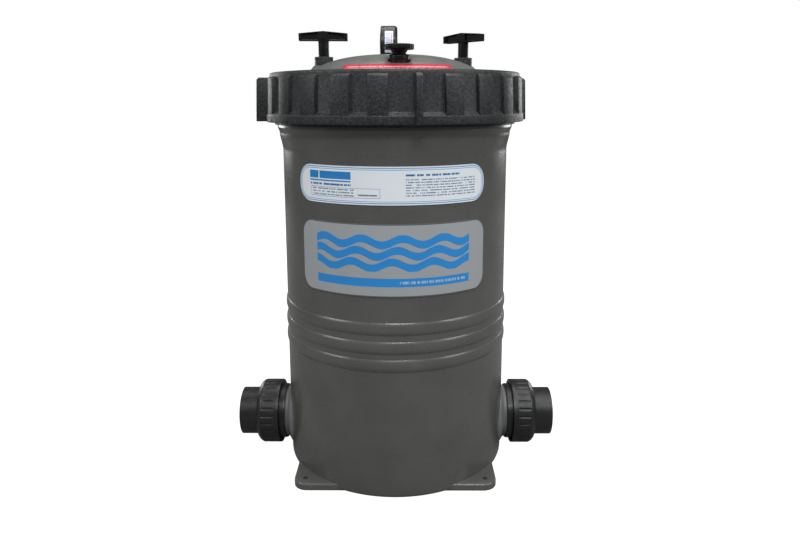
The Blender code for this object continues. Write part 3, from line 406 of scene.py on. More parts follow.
def drawRows(tree, coords, block):
    # rows of dashes that stand for small print; block: box in mm, rows, word length in mm
    low, high = block["box"][1], block["box"][3]
    pitch = (high - low) / block["rows"]
    x, y = splitCoords(tree, coords)
    row = calc(tree, "MULTIPLY_ADD", y, 1 / (pitch * mm), -low / pitch)
    number = calc(tree, "FLOOR", row)
    away = calc(tree, "ABSOLUTE", calc(tree, "SUBTRACT", calc(tree, "FRACT", row), 0.5))
    stroke = calc(tree, "LESS_THAN", away, block.get("weight", 0.42) / 2)
    along = calc(tree, "MULTIPLY", x, 1 / (block["word"] * mm))
    place = addNode(tree, "ShaderNodeCombineXYZ", None, {"X": along, "Y": number})
    words = addNode(tree, "ShaderNodeTexNoise", {"noise_dimensions": "2D"},
                    {"Vector": place.outputs[0], "Scale": 2.6, "Detail": 2})
    dash = calc(tree, "GREATER_THAN", words.outputs["Fac"], block.get("gaps", 0.44))
    both = calc(tree, "MULTIPLY", stroke, dash)
    return calc(tree, "MULTIPLY", both, drawBox(tree, coords, block["box"]))


def drawWave(tree, coords, wave):
    # a sine stripe inside a box: middle height, thickness, swing and length, all in mm
    x, y = splitCoords(tree, coords)
    phase = calc(tree, "MULTIPLY_ADD", x, 2 * math.pi / (wave["length"] * mm), wave["phase"])
    line = calc(tree, "MULTIPLY_ADD", calc(tree, "SINE", phase), wave["swing"] * mm, wave["height"] * mm)
    away = calc(tree, "ABSOLUTE", calc(tree, "SUBTRACT", y, line))
    stripe = calc(tree, "LESS_THAN", away, wave["thick"] / 2 * mm)
    return calc(tree, "MULTIPLY", stripe, drawBox(tree, coords, wave["box"]))


def filmMaterial(name, baseHex, roughness, settings, artwork):
    material, tree, shader = plainMaterial(name, baseHex, roughness, settings)
    coords = addNode(tree, "ShaderNodeUVMap", {"uv_map": "artwork"}).outputs[0]
    tree.links.new(artwork(tree, coords, baseHex), shader.inputs["Base Color"])
    addShine(tree, shader, roughness - 0.04, roughness + 0.06, 14)
    return material


badgePrint = {
    "size": (136, 47.9), "corner": 19.5, "line": 1.6, "field": (-107, -14, 107, 34),
    "wave": {"thick": 10.5, "swing": 4.2, "length": 53.5}, "waves": ((25.0, 0.0), (9.8, 0.8), (-5.4, 1.6)),
    "rule": (-107, -34.2, 107, -22.8), "outline": "#5c6065", "blue": "#2b90dc", "pale": "#a9c4d8",
}


def badgeArt(tree, coords, baseHex):
    # silver field with a dark outline, rolling blue waves over a blue rule
    s = badgePrint
    x, y = s["size"]
    rim = drawOutline(tree, coords, (-x, -y, x, y), s["line"], s["corner"])
    waves = [drawWave(tree, coords, {**s["wave"], "height": height, "phase": phase, "box": s["field"]})
             for height, phase in s["waves"]]
    rule = drawBox(tree, coords, s["rule"], 0.8)
    smallPrint = drawRows(tree, coords, {"box": (10, -32.0, 102, -25.0), "rows": 1, "word": 7,
                                         "weight": 0.5, "gaps": 0.47})
    colour = paintOver(tree, baseHex, rim, s["outline"])
    colour = paintOver(tree, colour, joinMasks(tree, waves + [rule]), s["blue"])
    return paintOver(tree, colour, smallPrint, s["pale"])


instructionPrint = {
    "outlines": (((-134, -22.5, 134, 22.5), 1.1, 19), ((-131.6, -20.1, 131.6, 20.1), 0.7, 17)),
    "title": {"box": (-114, 6.2, -50, 17.6), "rows": 1, "word": 19, "weight": 0.84, "gaps": 0.3},
    "underline": (-114, 3.8, -50, 5.4), "frame": ((-112, -15.6, -12, -3.6), 0.5),
    "headings": ({"box": (-113, -2.4, -50, 2.6), "rows": 1, "word": 9, "weight": 0.5},
                 {"box": (20, 11.0, 92, 15.6), "rows": 1, "word": 10, "weight": 0.55}),
    "small": ({"box": (-109, -15.0, -46, -4.0), "rows": 3, "word": 6},
              {"box": (-40, -14.4, -16, -9.6), "rows": 1, "word": 5, "gaps": 0.3},
              {"box": (20, -14.0, 118, 9.4), "rows": 7, "word": 6}),
}


def instructionArt(tree, coords, baseHex):
    # pale field in a double blue border, with a title and blocks of small print
    s = instructionPrint
    rims = [drawOutline(tree, coords, *outline) for outline in s["outlines"]]
    title = [drawRows(tree, coords, s["title"]), drawBox(tree, coords, s["underline"])]
    headings = [drawRows(tree, coords, block) for block in s["headings"]]
    small = [drawRows(tree, coords, block) for block in s["small"]]
    small.append(drawOutline(tree, coords, *s["frame"]))
    colour = paintOver(tree, baseHex, joinMasks(tree, rims), "#4a98d6")
    colour = paintOver(tree, colour, joinMasks(tree, title), "#2684cb")
    colour = paintOver(tree, colour, joinMasks(tree, headings), "#3a78ab")
    return paintOver(tree, colour, joinMasks(tree, small), "#6f8ba6")


def warningArt(tree, coords, baseHex):
    # red field with rows of pale dashes
    small = drawRows(tree, coords, {"box": (-70, -5.4, 70, 5.6), "rows": 3, "word": 6, "gaps": 0.4})
    return paintOver(tree, baseHex, small, "#e59aa4")


def stickerArt(tree, coords, baseHex):
    # white sticker with faint violet rows and a red line, on a black margin towards the lens
    rows = drawRows(tree, coords, {"box": (-2.8, -13, 4.6, 13), "rows": 8, "word": 4, "gaps": 0.42})
    line = drawBox(tree, coords, (5.6, -12, 6.4, 8))
    margin = drawBox(tree, coords, (-9, -20, -4.2, 20))
    colour = paintOver(tree, paintOver(tree, baseHex, rows, "#9aa3c4"), line, "#d06a78")
    return paintOver(tree, colour, margin, "#101112")


wallLabels = {
    "badge": {"length": 272.0, "corner": 19.5, "turn": -0.5, "lift": 1.2, "thick": 0.7},
    "instructions": {"length": 271.0, "corner": 22.0, "turn": -1.5, "lift": 0.9, "thick": 0.4},
}


def wallLabel(name, node, shape, look):
    # a thin printed sheet that follows the tank's tapered front, with rounded corners
    low, high = boxOf(node)
    middleZ, halfHeight = (low.z + high.z) / 2, (high.z - low.z) / 2
    halfLength, corner, columns = shape["length"] / 2, shape["corner"], []
    for i in range(13):
        a = math.pi / 2 * i / 12
        columns.append((halfLength - corner * (1 - math.sin(a)), halfHeight - corner * (1 - math.cos(a))))
    straight = halfLength - corner
    right = [(straight * i / 30, halfHeight) for i in range(30)] + columns
    full = [(-u, h) for u, h in reversed(right[1:])] + right
    rows = []
    for u, h in full:
        column = []
        a = -math.pi / 2 + math.radians(shape["turn"]) + u / wallRadius(middleZ)
        for share in (-1, -0.5, 0, 0.5, 1):
            z = middleZ + h * share
            radius = wallRadius(z) + shape["lift"]
            column.append(((radius * math.cos(a), radius * math.sin(a), z), (u, z - middleZ)))
        rows.append(column)
    bm = sheetMesh(rows)
    thickenSheet(bm, shape["thick"], lambda at: Vector((0, 0, at.z)))
    dress(finishShape(name, bm), "tank", look, node)


tankShape = {
    "baseRadius": 169.0, "taper": 0.0152, "wall": 6.2, "floor": 11.0, "lift": 0.6,
    "taperTop": 474.0, "flareTop": 500.0, "flareRise": 4.4, "collar": 168.3,
    "neck": 163.5, "neckBore": 150.0, "threadRise": 2.8, "threads": (544.0, 530.0),
    "bands": (198.6, 224.0, 250.3), "bandWidth": 17.7, "bandRise": 2.1,
}


def wallRadius(z):
    return tankShape["baseRadius"] - tankShape["taper"] * z


def tankOutline():
    s = tankShape
    rim = boxOf("tank")[1].z
    collarTop = boxOf("lock_ring")[0].z + 1.3
    inner = [
        (0, s["floor"]), (wallRadius(20) - s["wall"], s["floor"], 14),
        (wallRadius(s["taperTop"]) - s["wall"], s["taperTop"] - 4, 20),
        (s["neckBore"], collarTop - 6, 12), (s["neckBore"], rim, 1.5), (s["neck"], rim, 1.2),
    ]
    outer = []
    for z in s["threads"]:
        outer += [(s["neck"], z + 4, 1), (s["neck"] + s["threadRise"], z + 1.4, 0.8),
                  (s["neck"] + s["threadRise"], z - 1.4, 0.8), (s["neck"], z - 4, 1)]
    outer += [(s["neck"], collarTop, 0.8), (s["collar"], collarTop, 1.4),
              (s["collar"], collarTop - 5, 2.5)]
    flareTop, flareLow = s["flareTop"], s["taperTop"]
    for i in range(13):
        z = flareTop + (flareLow - flareTop) * i / 12
        t = (z - flareLow) / (flareTop - flareLow)
        outer.append((wallRadius(z) + s["flareRise"] * t * t * (3 - 2 * t), z))
    for centre in reversed(s["bands"]):
        for i in range(13):
            t = 1 - i / 6
            z = centre + t * s["bandWidth"] / 2
            outer.append((wallRadius(z) + s["bandRise"] * (1 - abs(t) ** 2.4) ** 0.8, z))
    outer += [(wallRadius(110), 110), (wallRadius(0) - 1, s["lift"], 7), (0, s["lift"])]
    return inner + outer


def makeTank():
    portHeight = middleOf("left_union_nut").z
    drainHeight = middleOf("drain_plug").z
    shell = spinShape("tankShell", tankOutline(), steps=160, rounding=5)
    backward = alongY(drainHeight)
    cutAway(shell, [cylinderShape("bore", portShape["bore"], -190, 190, alongX(1, portHeight), 64),
                    cylinderShape("drainBore", drainShape["bore"], 140, 190, backward, 32)])
    dress(shell, "tank", "grey", "tank")
    for side, name in ((-1, "left"), (1, "right")):
        # the port necks wear the paler grey, which is painted light
        dress(makePort(name, side, portHeight), "tank", "neck")
        # each port gets a black band by its nut, which is painted shade from the nut
        dress(makePortShadeBand(name, side, portHeight), "tank", "union")
    bore, boss, face, root = (drainShape[key] for key in ("bore", "boss", "bossFace", "bossRoot"))
    boss = [(bore, face, 0.6), (boss, face, 1.5), (boss, face - 11), (boss + 2.5, root), (bore, root)]
    dress(spinShape("drainBoss", boss, True, 48, backward), "tank", "grey")
    dress(makeFoot(), "tank", "grey")


portShape = {"bore": 26.0, "neck": 40.5, "thread": 43.2, "flare": 53.0, "neckEnd": 170.5,
             "face": 200.0, "threadStart": 186.5, "shadeBandStart": 174.5, "inner": 155.0}


def makePort(name, side, height):
    # port neck with its flat pad, a threaded end and an open bore
    s = portShape
    outline = [(s["bore"], s["inner"]), (s["bore"], s["face"], 1.0), (s["thread"] - 1.8, s["face"], 0.8)]
    for i in range(4):
        z = s["face"] - 2.6 - i * 3.1
        outline += [(s["thread"] - 1.8, z + 0.9, 0.3), (s["thread"], z, 0.4),
                    (s["thread"] - 1.8, z - 0.9, 0.3)]
    outline += [
        (s["thread"] - 1.8, s["threadStart"], 0.5), (s["neck"], s["threadStart"] - 1, 0.5),
        (s["neck"], s["neckEnd"], 4.5), (s["flare"] - 4.5, s["neckEnd"] - 5, 6),
        (s["flare"], s["inner"] + 2, 3), (s["flare"], s["inner"]),
    ]
    return spinShape(name + "Port", outline, True, 96, alongX(side, height))


def makePortShadeBand(name, side, height):
    # black band over the port neck next to the nut: painted shade, standing for the nut's shadow on the
    # port's threaded end
    s = portShape
    shadeBandOutline = [(s["neck"] - 0.3, s["shadeBandStart"]), (s["thread"] - 0.6, s["shadeBandStart"], 0.9),
              (s["thread"], s["shadeBandStart"] + 2.5, 0.9), (s["thread"], s["threadStart"] + 1, 0.4),
              (s["neck"] - 0.3, s["threadStart"] + 1)]
    return spinShape(name + "PortShadeBand", shadeBandOutline, True, 96, alongX(side, height))


footShape = {"corner": 20.0, "holeRadius": 4.0, "holeAt": 130.0, "edge": 2.6, "thick": 10.0, "half": 146.7}


def makeFoot():
    # square foot plate with rounded corners and edges, and four bolt holes
    s = footShape
    bm = bmesh.new()
    boxMesh(bm, (2 * s["half"], 2 * s["half"], s["thick"]), (0, 0, s["thick"] / 2))
    upright = [e for e in bm.edges if abs(e.verts[0].co.z - e.verts[1].co.z) > s["thick"] * mm / 2]
    bevelAll(bm, upright, s["corner"], 12)
    rim = [e for e in bm.edges if all(v.co.z > (s["thick"] - 0.1) * mm for v in e.verts)]
    bevelAll(bm, rim, s["edge"], 4)
    plate = finishShape("footPlate", bm)
    reach, holes = s["holeAt"] * mm, []
    for x in (-reach, reach):
        for y in (-reach, reach):
            holes.append(cylinderShape("hole", s["holeRadius"], -5, 20, Matrix.Translation((x, y, 0)), 32))
    return cutAway(plate, holes)


ringShape = {
    "bore": 167.6, "lip": 141.5, "collar": 176.2, "rib": 183.4, "fin": 197.2, "positions": 24,
    "phase": 9.5, "draft": math.tan(math.radians(3)), "ribWidth": 24.6, "finWidth": 8.0, "ribRoot": 170.0,
    "flangeHigh": 10.5, "slopeHigh": 15.0, "skirt": (168.9, 171.8), "skirtDrop": 3.5,
}


def addRib(bm, angle, width, reach, low, high, chamfer, soft):
    # one radial rib with draft, a sloped top and soft edges
    inner = ringShape["ribRoot"]
    part = bmesh.new()
    verts = boxMesh(part, (reach - inner, width, high - low), ((reach + inner) / 2, 0, (low + high) / 2))
    lean = (high - low) * ringShape["draft"] * mm
    outer = [v for v in verts if v.co.x > (inner + 1) * mm]
    top = [v for v in outer if v.co.z > (low + high) / 2 * mm]
    for v in top:
        v.co.x -= lean
    ridge = [e for e in part.edges if all(v in top for v in e.verts)]
    bevelAll(part, ridge, chamfer, 1)
    part.edges.ensure_lookup_table()
    soften = [e for e in part.edges if all(v.co.x > (inner + 1) * mm for v in e.verts)
              or any(v.co.x > (inner + 1) * mm for v in e.verts) and
              abs(e.verts[0].co.x - e.verts[1].co.x) > 1.5 * mm]
    bevelAll(part, soften, soft, 2)
    bmesh.ops.rotate(part, cent=(0, 0, 0), matrix=Matrix.Rotation(angle, 3, "Z"), verts=part.verts)
    rib = bpy.data.meshes.new("rib")
    part.to_mesh(rib)
    part.free()
    bm.from_mesh(rib)
    bpy.data.meshes.remove(rib)


def makeRing():
    s = ringShape
    low, high = boxOf("lock_ring")[0].z + s["skirtDrop"], boxOf("lock_ring")[1].z
    lipLow = high - 8.0
    recessTop = high - 7.1
    drop = (recessTop - low - s["slopeHigh"]) * s["draft"]
    outline = [
        (s["lip"], lipLow, 1.0), (s["lip"], high, 2.0), (s["collar"], high, 4.2),
        (s["collar"] + 0.3, recessTop, 1.0), (s["collar"] + 0.3 + drop, low + s["slopeHigh"], 2.0),
        (s["rib"], low + s["flangeHigh"], 1.6), (s["rib"], low, 1.4), (s["skirt"][1], low, 0.5),
        (s["skirt"][1], low - s["skirtDrop"], 0.5), (s["skirt"][0], low - s["skirtDrop"], 0.5),
        (s["skirt"][0], low, 0.3), (s["bore"], low, 0.3), (s["bore"], lipLow, 2.0),
    ]
    bm = bmesh.new()
    core = spinShape("ringCore", outline, True, 192, rounding=4)
    bm.from_mesh(core.data)
    bpy.data.objects.remove(core)
    for i in range(s["positions"]):
        angle = math.radians(s["phase"] - 90 + 360 / s["positions"] * i)
        if i % 6 == 0:
            addRib(bm, angle, s["finWidth"], s["fin"], low + 0.4, high - 5.6, 3.0, 1.0)
        else:
            addRib(bm, angle, s["ribWidth"], s["rib"], low + 0.4, high - 5.6, 2.6, 0.7)
    ring = finishShape("lockRing", bm)
    dress(ring, "lock_ring", "ring", "lock_ring")


lidShape = {"wall": 7.0, "flange": 162.0, "spigot": 149.2, "bossRadius": 13.0, "bossFlare": 6.5}


def domeHeight(r):
    # nearly flat in the middle, falling faster towards the knuckle
    return boxOf("lid")[1].z - r * r / 1290 - 5 * (r / 100) ** 4 - 0.45 * (r / 100) ** 8


def lidOutline():
    s = lidShape
    flangeTop = boxOf("lock_ring")[1].z - 8.3
    flangeLow = boxOf("tank")[1].z + 0.3
    holdLow = boxOf("cartridge_top_cap")[1].z + 1.0
    low = flangeLow - 16.3
    outer = [(r, domeHeight(r)) for r in range(0, 131, 5)]
    outer += [(135.6, flangeTop + 1.2), (138.6, flangeTop), (s["flange"], flangeTop, 1.2),
              (s["flange"], flangeLow, 0.8), (s["spigot"], flangeLow, 0.5)]
    grooveHigh, grooveLow, grooveRadius = flangeLow - 3.8, flangeLow - 10.8, s["spigot"] - 5.2
    outer += [(s["spigot"], grooveHigh, 0.3), (grooveRadius, grooveHigh, 0.5),
              (grooveRadius, grooveLow, 0.5), (s["spigot"], grooveLow, 0.3), (s["spigot"], low, 1.5)]
    inner = [(138.5, low, 1.5), (136, flangeLow, 8)]
    inner += [(r, domeHeight(r) - s["wall"] - 1) for r in range(122, 66, -6)]
    inner += [(62, domeHeight(62) - s["wall"], 2), (62, holdLow, 1), (57, holdLow, 1),
              (57, domeHeight(57) - s["wall"], 2)]
    inner += [(r, domeHeight(r) - s["wall"]) for r in (40, 20, 0)]
    return outer + inner


def makeLid():
    s = lidShape
    lid = spinShape("lidDome", lidOutline(), steps=160, rounding=4)
    cutters = []
    for node in ("bleed_valve_washer", "gauge_washer"):
        at = middleOf(node)
        place = standAt(at)
        floor = boxOf(node)[0].z - 0.3
        join = cylinderShape("seatBoss", 14.2, floor - 18, floor + 0.4, place, 48)
        cutAway(lid, [join], "UNION")
        bore = 8.4 if node == "bleed_valve_washer" else 6.8
        cutters += [cylinderShape("seat", 15.0, floor, 640, place, 64),
                    cylinderShape("bore", bore, floor - 40, 640, place, 48)]
    for name in ("left", "right"):
        at = middleOf(name + "_handle_bush")
        place = standAt(at)
        top = boxOf(name + "_handle_bush")[1].z - 12.0
        flare = s["bossRadius"] + s["bossFlare"]
        boss = [(0, top + 0.4), (s["bossRadius"] + 1.2, top + 0.4, 1.0), (flare, top - 5.6, 2.5),
                (flare, top - 8.6), (s["bossRadius"], top - 22), (0, top - 22)]
        cutAway(lid, [spinShape("boss", boss, steps=64, place=place)], "UNION")
        cutters.append(cylinderShape("bushSeat", s["bossRadius"] + 0.5, top, 640, place, 64))
        cutters.append(cylinderShape("bushBore", 9.3, top - 26, 640, place, 48))
    cutAway(lid, cutters)
    dress(lid, "lid", "lid", "lid")


handleShape = {"stem": 7.5, "barLength": 67.5, "barDepth": 13.0, "barHeight": 12.8, "endDrop": 3.0,
               "pocketDepth": 3.6, "web": 3.2, "hub": 6.2, "bush": 13.0, "stud": 5.9, "studTurns": 11,
               "studPitch": 2.2, "turns": {"left": 4.0, "right": -46.0}}


def barMesh(s, low):
    # tapered bar with four side pockets, so that its section is an I
    bm = bmesh.new()
    length, depth, height = s["barLength"], s["barDepth"], s["barHeight"]
    boxMesh(bm, (length, depth, height), (0, 0, low + height / 2))
    bmesh.ops.bisect_plane(bm, geom=bm.verts[:] + bm.edges[:] + bm.faces[:], plane_co=(0, 0, 0),
                           plane_no=(1, 0, 0))
    for v in bm.verts:
        if abs(v.co.x) > mm and v.co.z > (low + 1) * mm:
            v.co.z -= s["endDrop"] * mm
    for x in (-s["hub"], s["hub"], -length / 2 + s["web"], length / 2 - s["web"]):
        bmesh.ops.bisect_plane(bm, geom=bm.verts[:] + bm.edges[:] + bm.faces[:], plane_co=(x * mm, 0, 0),
                               plane_no=(1, 0, 0))
    sides = [f for f in bm.faces if abs(f.normal.y) > 0.9
             and s["hub"] * mm < abs(f.calc_center_median().x) < (length / 2 - s["web"]) * mm]
    bmesh.ops.inset_individual(bm, faces=sides, thickness=1.9 * mm, depth=0)
    pressed = bmesh.ops.extrude_discrete_faces(bm, faces=sides)["faces"]
    for face in pressed:
        inward = -math.copysign(s["pocketDepth"] * mm, face.normal.y)
        bmesh.ops.translate(bm, vec=(0, inward, 0), verts=face.verts)
    bmesh.ops.remove_doubles(bm, verts=bm.verts, dist=1e-6)
    bmesh.ops.recalc_face_normals(bm, faces=bm.faces)
    return bm


def makeHandles():
    s = handleShape
    for name in ("left", "right"):
        grip, stem = name + "_handle_grip", boxOf(name + "_handle_stud")
        low, high = boxOf(grip)
        at = (stem[0] + stem[1]) / 2
        place = standAt(at)
        barLow = high.z - s["barHeight"]
        bm = barMesh(s, barLow)
        turn = Matrix.Rotation(math.radians(s["turns"][name]), 4, "Z")
        obj = finishShape(name + "HandleGrip", bm, place @ turn)
        soft = obj.modifiers.new("soft edges", "BEVEL")
        soft.width = 0.9 * mm
        soft.segments = 3
        soft.limit_method = "ANGLE"
        soft.angle_limit = math.radians(30)
        soft.harden_normals = True
        dress(obj, name + "_handle", "gloss", grip)
        stemLine = [(0, barLow + 6), (s["stem"] + 0.6, barLow + 4), (s["stem"], barLow - 3, 3),
                    (s["stem"], low.z, 0.6), (0, low.z)]
        dress(spinShape(name + "HandleStem", stemLine, steps=48, place=place), name + "_handle", "gloss")
        bushLow, bushHigh = boxOf(name + "_handle_bush")
        base, top, r = bushLow.z, bushHigh.z, s["bush"]
        collar = [(6.4, base), (6.4, top, 0.5), (r, top, 0.8), (r, top - 3.2, 0.3), (r - 0.4, top - 3.6, 0.2),
                  (r, top - 4.0, 0.3), (r, top - 11.7, 0.6), (9.0, top - 11.7, 0.3), (9.0, base)]
        dress(spinShape(name + "HandleBush", collar, True, 64, place), "lid", "ring",
              name + "_handle_bush")
        studLow, studHigh = stem
        r = s["stud"]
        stud = [(0, studHigh.z), (r, studHigh.z, 1)]
        for i in range(s["studTurns"]):
            z = studHigh.z - 12 - i * s["studPitch"]
            stud += [(r, z + 0.8), (r - 0.7, z), (r, z - 0.8)]
        stud += [(r, studLow.z + 2), (r - 1.3, studLow.z), (0, studLow.z)]
        dress(spinShape(name + "HandleStud", stud, steps=48, place=place), name + "_handle_stud",
              "steel", name + "_handle_stud")


bleedShape = {"body": 13.8, "knob": 19.25, "hubLow": 9.2, "hubHigh": 10.6, "teeth": 26}


def makeBleedValve():
    s = bleedShape
    at = middleOf("bleed_valve_spindle")
    place = standAt(at)
    low, high = boxOf("bleed_valve_body")
    floor = boxOf("bleed_valve_washer")[0].z
    body = [(3.4, low.z), (3.4, high.z, 0.4), (11.6, high.z, 0.5), (s["body"], high.z - 1.8, 0.8),
            (s["body"], floor + 3.2, 0.5), (s["body"] - 0.7, floor + 2.4, 0.3), (s["body"], floor + 1.6, 0.3),
            (s["body"], floor, 0.6), (12.3, floor), (12.3, floor + 2.2), (8, floor + 2.2), (8, low.z)]
    dress(spinShape("bleedValveBody", body, True, 72, place), "lid", "gloss", "bleed_valve_body")
    low, high = boxOf("bleed_valve_knob")
    knob = [(0, high.z - 0.8), (s["knob"] - 4.5, high.z - 0.8, 0.6), (s["knob"] - 3.4, high.z, 0.6),
            (s["knob"], high.z, 0.9), (s["knob"], high.z - 6.4, 0.9), (s["hubHigh"] + 1, high.z - 6.4, 1.2),
            (s["hubLow"], low.z + 2, 2), (s["hubLow"], low.z, 0.4), (3.3, low.z), (3.3, high.z - 8),
            (0, high.z - 8)]
    obj = spinShape("bleedValveKnob", knob, steps=s["teeth"] * 6, place=place)
    for v in obj.data.vertices:
        flat = Vector((v.co.x - at.x * mm, v.co.y - at.y * mm))
        if flat.length > (s["knob"] - 1.2) * mm:
            wave = 0.5 + 0.5 * math.cos(s["teeth"] * math.atan2(flat.y, flat.x))
            flat *= 1 - 0.055 * (1 - wave) ** 2
            v.co.x, v.co.y = at.x * mm + flat.x, at.y * mm + flat.y
    dress(obj, "bleed_knob", "gloss", "bleed_valve_knob")


gaugeShape = {
    "radius": 28.0, "dialRadius": 25.0, "dialFace": 19.0, "sweep": 270.0, "marks": 20,
    "markReach": 23.6, "longMark": (0.9, 4.6), "shortMark": (0.5, 2.8), "numberReach": 15.2,
    "numberHeight": 4.4, "numbers": ("0", "100", "200", "300", "400"),
}


def makeGauge():
    # the gauge is turned about its own axis, which points to the left
    s = gaugeShape
    low, high = boxOf("gauge_case")
    centre = (low + high) / 2
    place = (Matrix.Translation((high.x * mm, centre.y * mm, centre.z * mm))
             @ Matrix.Rotation(-math.pi / 2, 4, "Y"))
    r = s["radius"]
    case = [(0, 2.2), (r - 2.2, 2.2, 1), (r - 2.2, 25.5, 0.4), (r - 1.1, 25.5, 0.6), (r, 24.2, 0.6),
            (r, 21.8, 0.3), (r - 0.4, 21.4, 0.2), (r, 21.0, 0.3), (r, 3.2, 3.0), (r - 2.6, 0, 1.2), (0, 0)]
    dress(spinShape("gaugeCase", case, steps=96, place=place), "lid", "gloss", "gauge_case")
    lens = [(0, 27.1), (12, 26.9), (20, 26.1), (24.4, 25.2, 1), (25.5, 24.4, 0.3), (25.5, 23.0, 0.2),
            (24.1, 23.0), (23.6, 24.0), (19, 24.9), (12, 25.5), (0, 25.7)]
    dress(spinShape("gaugeLens", lens, steps=96, place=place), "lid", "lens", "gauge_lens")
    face = s["dialFace"]
    dial = [(0, face), (s["dialRadius"], face, 0.2), (s["dialRadius"], face - 0.7), (0, face - 0.7)]
    dress(spinShape("gaugeDial", dial, steps=72, place=place), "lid", "print", "gauge_dial")
    upright = place @ Matrix.Rotation(-math.pi / 2, 4, "Z")
    marks = bmesh.new()
    for i in range(s["marks"] + 1):
        angle = math.radians(s["sweep"] * (i / s["marks"] - 0.5))
        width, length = s["longMark"] if i % 5 == 0 else s["shortMark"]
        boxMesh(marks, (width, length, 0.12), (0, s["markReach"] - length / 2, face + 0.06),
                Matrix.Rotation(-angle, 4, "Z"))
    dress(finishShape("gaugeMarks", marks, upright), "lid", "ink")
    for i, number in enumerate(s["numbers"]):
        angle = math.radians(s["sweep"] * (i / (len(s["numbers"]) - 1) - 0.5))
        bm = textMesh(number, s["numberHeight"])
        reach = s["numberReach"] * mm
        at = Matrix.Translation((reach * math.sin(angle), reach * math.cos(angle), (face + 0.1) * mm))
        bmesh.ops.transform(bm, matrix=at, verts=bm.verts)
        dress(finishShape(f"gaugeNumber{i}", bm, upright), "lid", "ink")


def textMesh(words, height):
    # raised figures, centred
    curve = bpy.data.curves.new("number", "FONT")
    curve.body = words
    curve.size = height * mm
    curve.extrude = 0.06 * mm
    curve.align_x = "CENTER"
    curve.align_y = "CENTER"
    text = bpy.data.objects.new("number", curve)
    bpy.context.scene.collection.objects.link(text)
    mesh = bpy.data.meshes.new_from_object(text.evaluated_get(bpy.context.evaluated_depsgraph_get()))
    bpy.data.objects.remove(text)
    bm = bmesh.new()
    bm.from_mesh(mesh)
    bpy.data.meshes.remove(mesh)
    return bm


stickerShape = {"radius": 28.35, "halfArc": 34.0, "turn": -7.0, "halfWidth": 8.5, "shift": -1.8,
                "thick": 0.25}


def makeSticker():
    # white sticker wrapped round the gauge's rim, facing the front
    s = stickerShape
    low, high = boxOf("gauge_case")
    centre = (low + high) / 2
    halfArc = math.radians(s["halfArc"])
    rows = []
    for i in range(21):
        a = -math.pi / 2 + math.radians(s["turn"]) + halfArc * (i / 10 - 1)
        y, z = centre.y + s["radius"] * math.sin(a), centre.z - s["radius"] * math.cos(a)
        rows.append([((centre.x + s["shift"] + x, y, z), (x, s["radius"] * (i / 10 - 1) * halfArc))
                     for x in (-s["halfWidth"], s["halfWidth"])])
    bm = sheetMesh(rows)
    thickenSheet(bm, s["thick"], lambda at: Vector((at.x, centre.y * mm, centre.z * mm)))
    art = filmMaterial("printed film, gauge sticker", "#dfe6ef", 0.4, {"IOR": 1.5}, stickerArt)
    dress(finishShape("gaugeSticker", bm), "lid", ("white_print", art), "gauge_sticker")


unionShape = {"nutRadius": 50.2, "ribs": 26, "ribDepth": 1.5, "tailRadius": 37.2, "socket": 30.2,
              "socketDepth": 37.0, "bore": 26.0, "flange": 43.0}


def makeUnions():
    s = unionShape
    for name, side in (("left", -1), ("right", 1)):
        height = middleOf(name + "_union_nut").z
        place = alongX(side, height)
        low, high = boxOf(name + "_union_nut")
        start, end = sorted(abs(v) for v in (low.x, high.x))
        low, high = boxOf(name + "_union_tail")
        face, tip = sorted(abs(v) for v in (low.x, high.x))
        ribStart, ribEnd, shoulder = start + 7.4, end - 9.0, face + 7.9
        nut = [(44.0, start, 0.4), (s["nutRadius"], start, 0.9), (s["nutRadius"], ribStart, 0.5)]
        ribStep = (ribEnd - ribStart - 1.2) / 8
        nut += [(s["nutRadius"] - 0.4, ribStart + 0.6 + k * ribStep) for k in range(9)]
        nut += [(s["nutRadius"], ribEnd, 0.5), (49.7, end - 7.6, 2), (47.7, end - 4.4, 3),
                (43.8, end - 1.2, 3), (39.6, end, 0.8), (s["tailRadius"] + 0.9, end),
                (s["tailRadius"] + 0.9, shoulder), (44.0, shoulder)]
        steps = s["ribs"] * 12
        obj = spinShape(name + "UnionNut", nut, True, steps, Matrix())
        for v in obj.data.vertices:
            flat = Vector((v.co.x, v.co.y))
            if ribStart * mm < v.co.z < ribEnd * mm and flat.length > (s["nutRadius"] - 0.6) * mm:
                turn = math.atan2(flat.y, flat.x) * s["ribs"] / (2 * math.pi)
                offset = abs(turn - round(turn))
                groove = max(0.0, 1 - (0.5 - offset) / 0.11)
                fade = min(1.0, (v.co.z / mm - ribStart) / 2, (ribEnd - v.co.z / mm) / 2)
                depth = s["ribDepth"] * min(1.0, groove * 1.6) * max(fade, 0.2)
                flat *= (s["nutRadius"] - depth) * mm / flat.length
                v.co.x, v.co.y = flat
        obj.data.transform(place)
        dress(obj, name + "_nut", "union", name + "_union_nut")
        flangeEnd = face + 7.4
        tail = [(s["tailRadius"], tip, 1.2), (s["tailRadius"], flangeEnd, 0.8), (s["flange"], flangeEnd, 0.6),
                (s["flange"], face, 0.5), (36.4, face), (36.4, face + 3.6), (31.6, face + 3.6), (31.6, face),
                (s["bore"], face, 0.4), (s["bore"], tip - s["socketDepth"], 0.3),
                (s["socket"], tip - s["socketDepth"], 0.3), (s["socket"] + 0.2, tip, 1.0)]
        dress(spinShape(name + "UnionTail", tail, True, 96, place), name + "_union", "union",
              name + "_union_tail")


drainShape = {"bore": 9.0, "boss": 15.0, "bossFace": 181.0, "bossRoot": 158.0, "flange": 13.5,
              "headLength": 10.2, "spanner": 19.0}


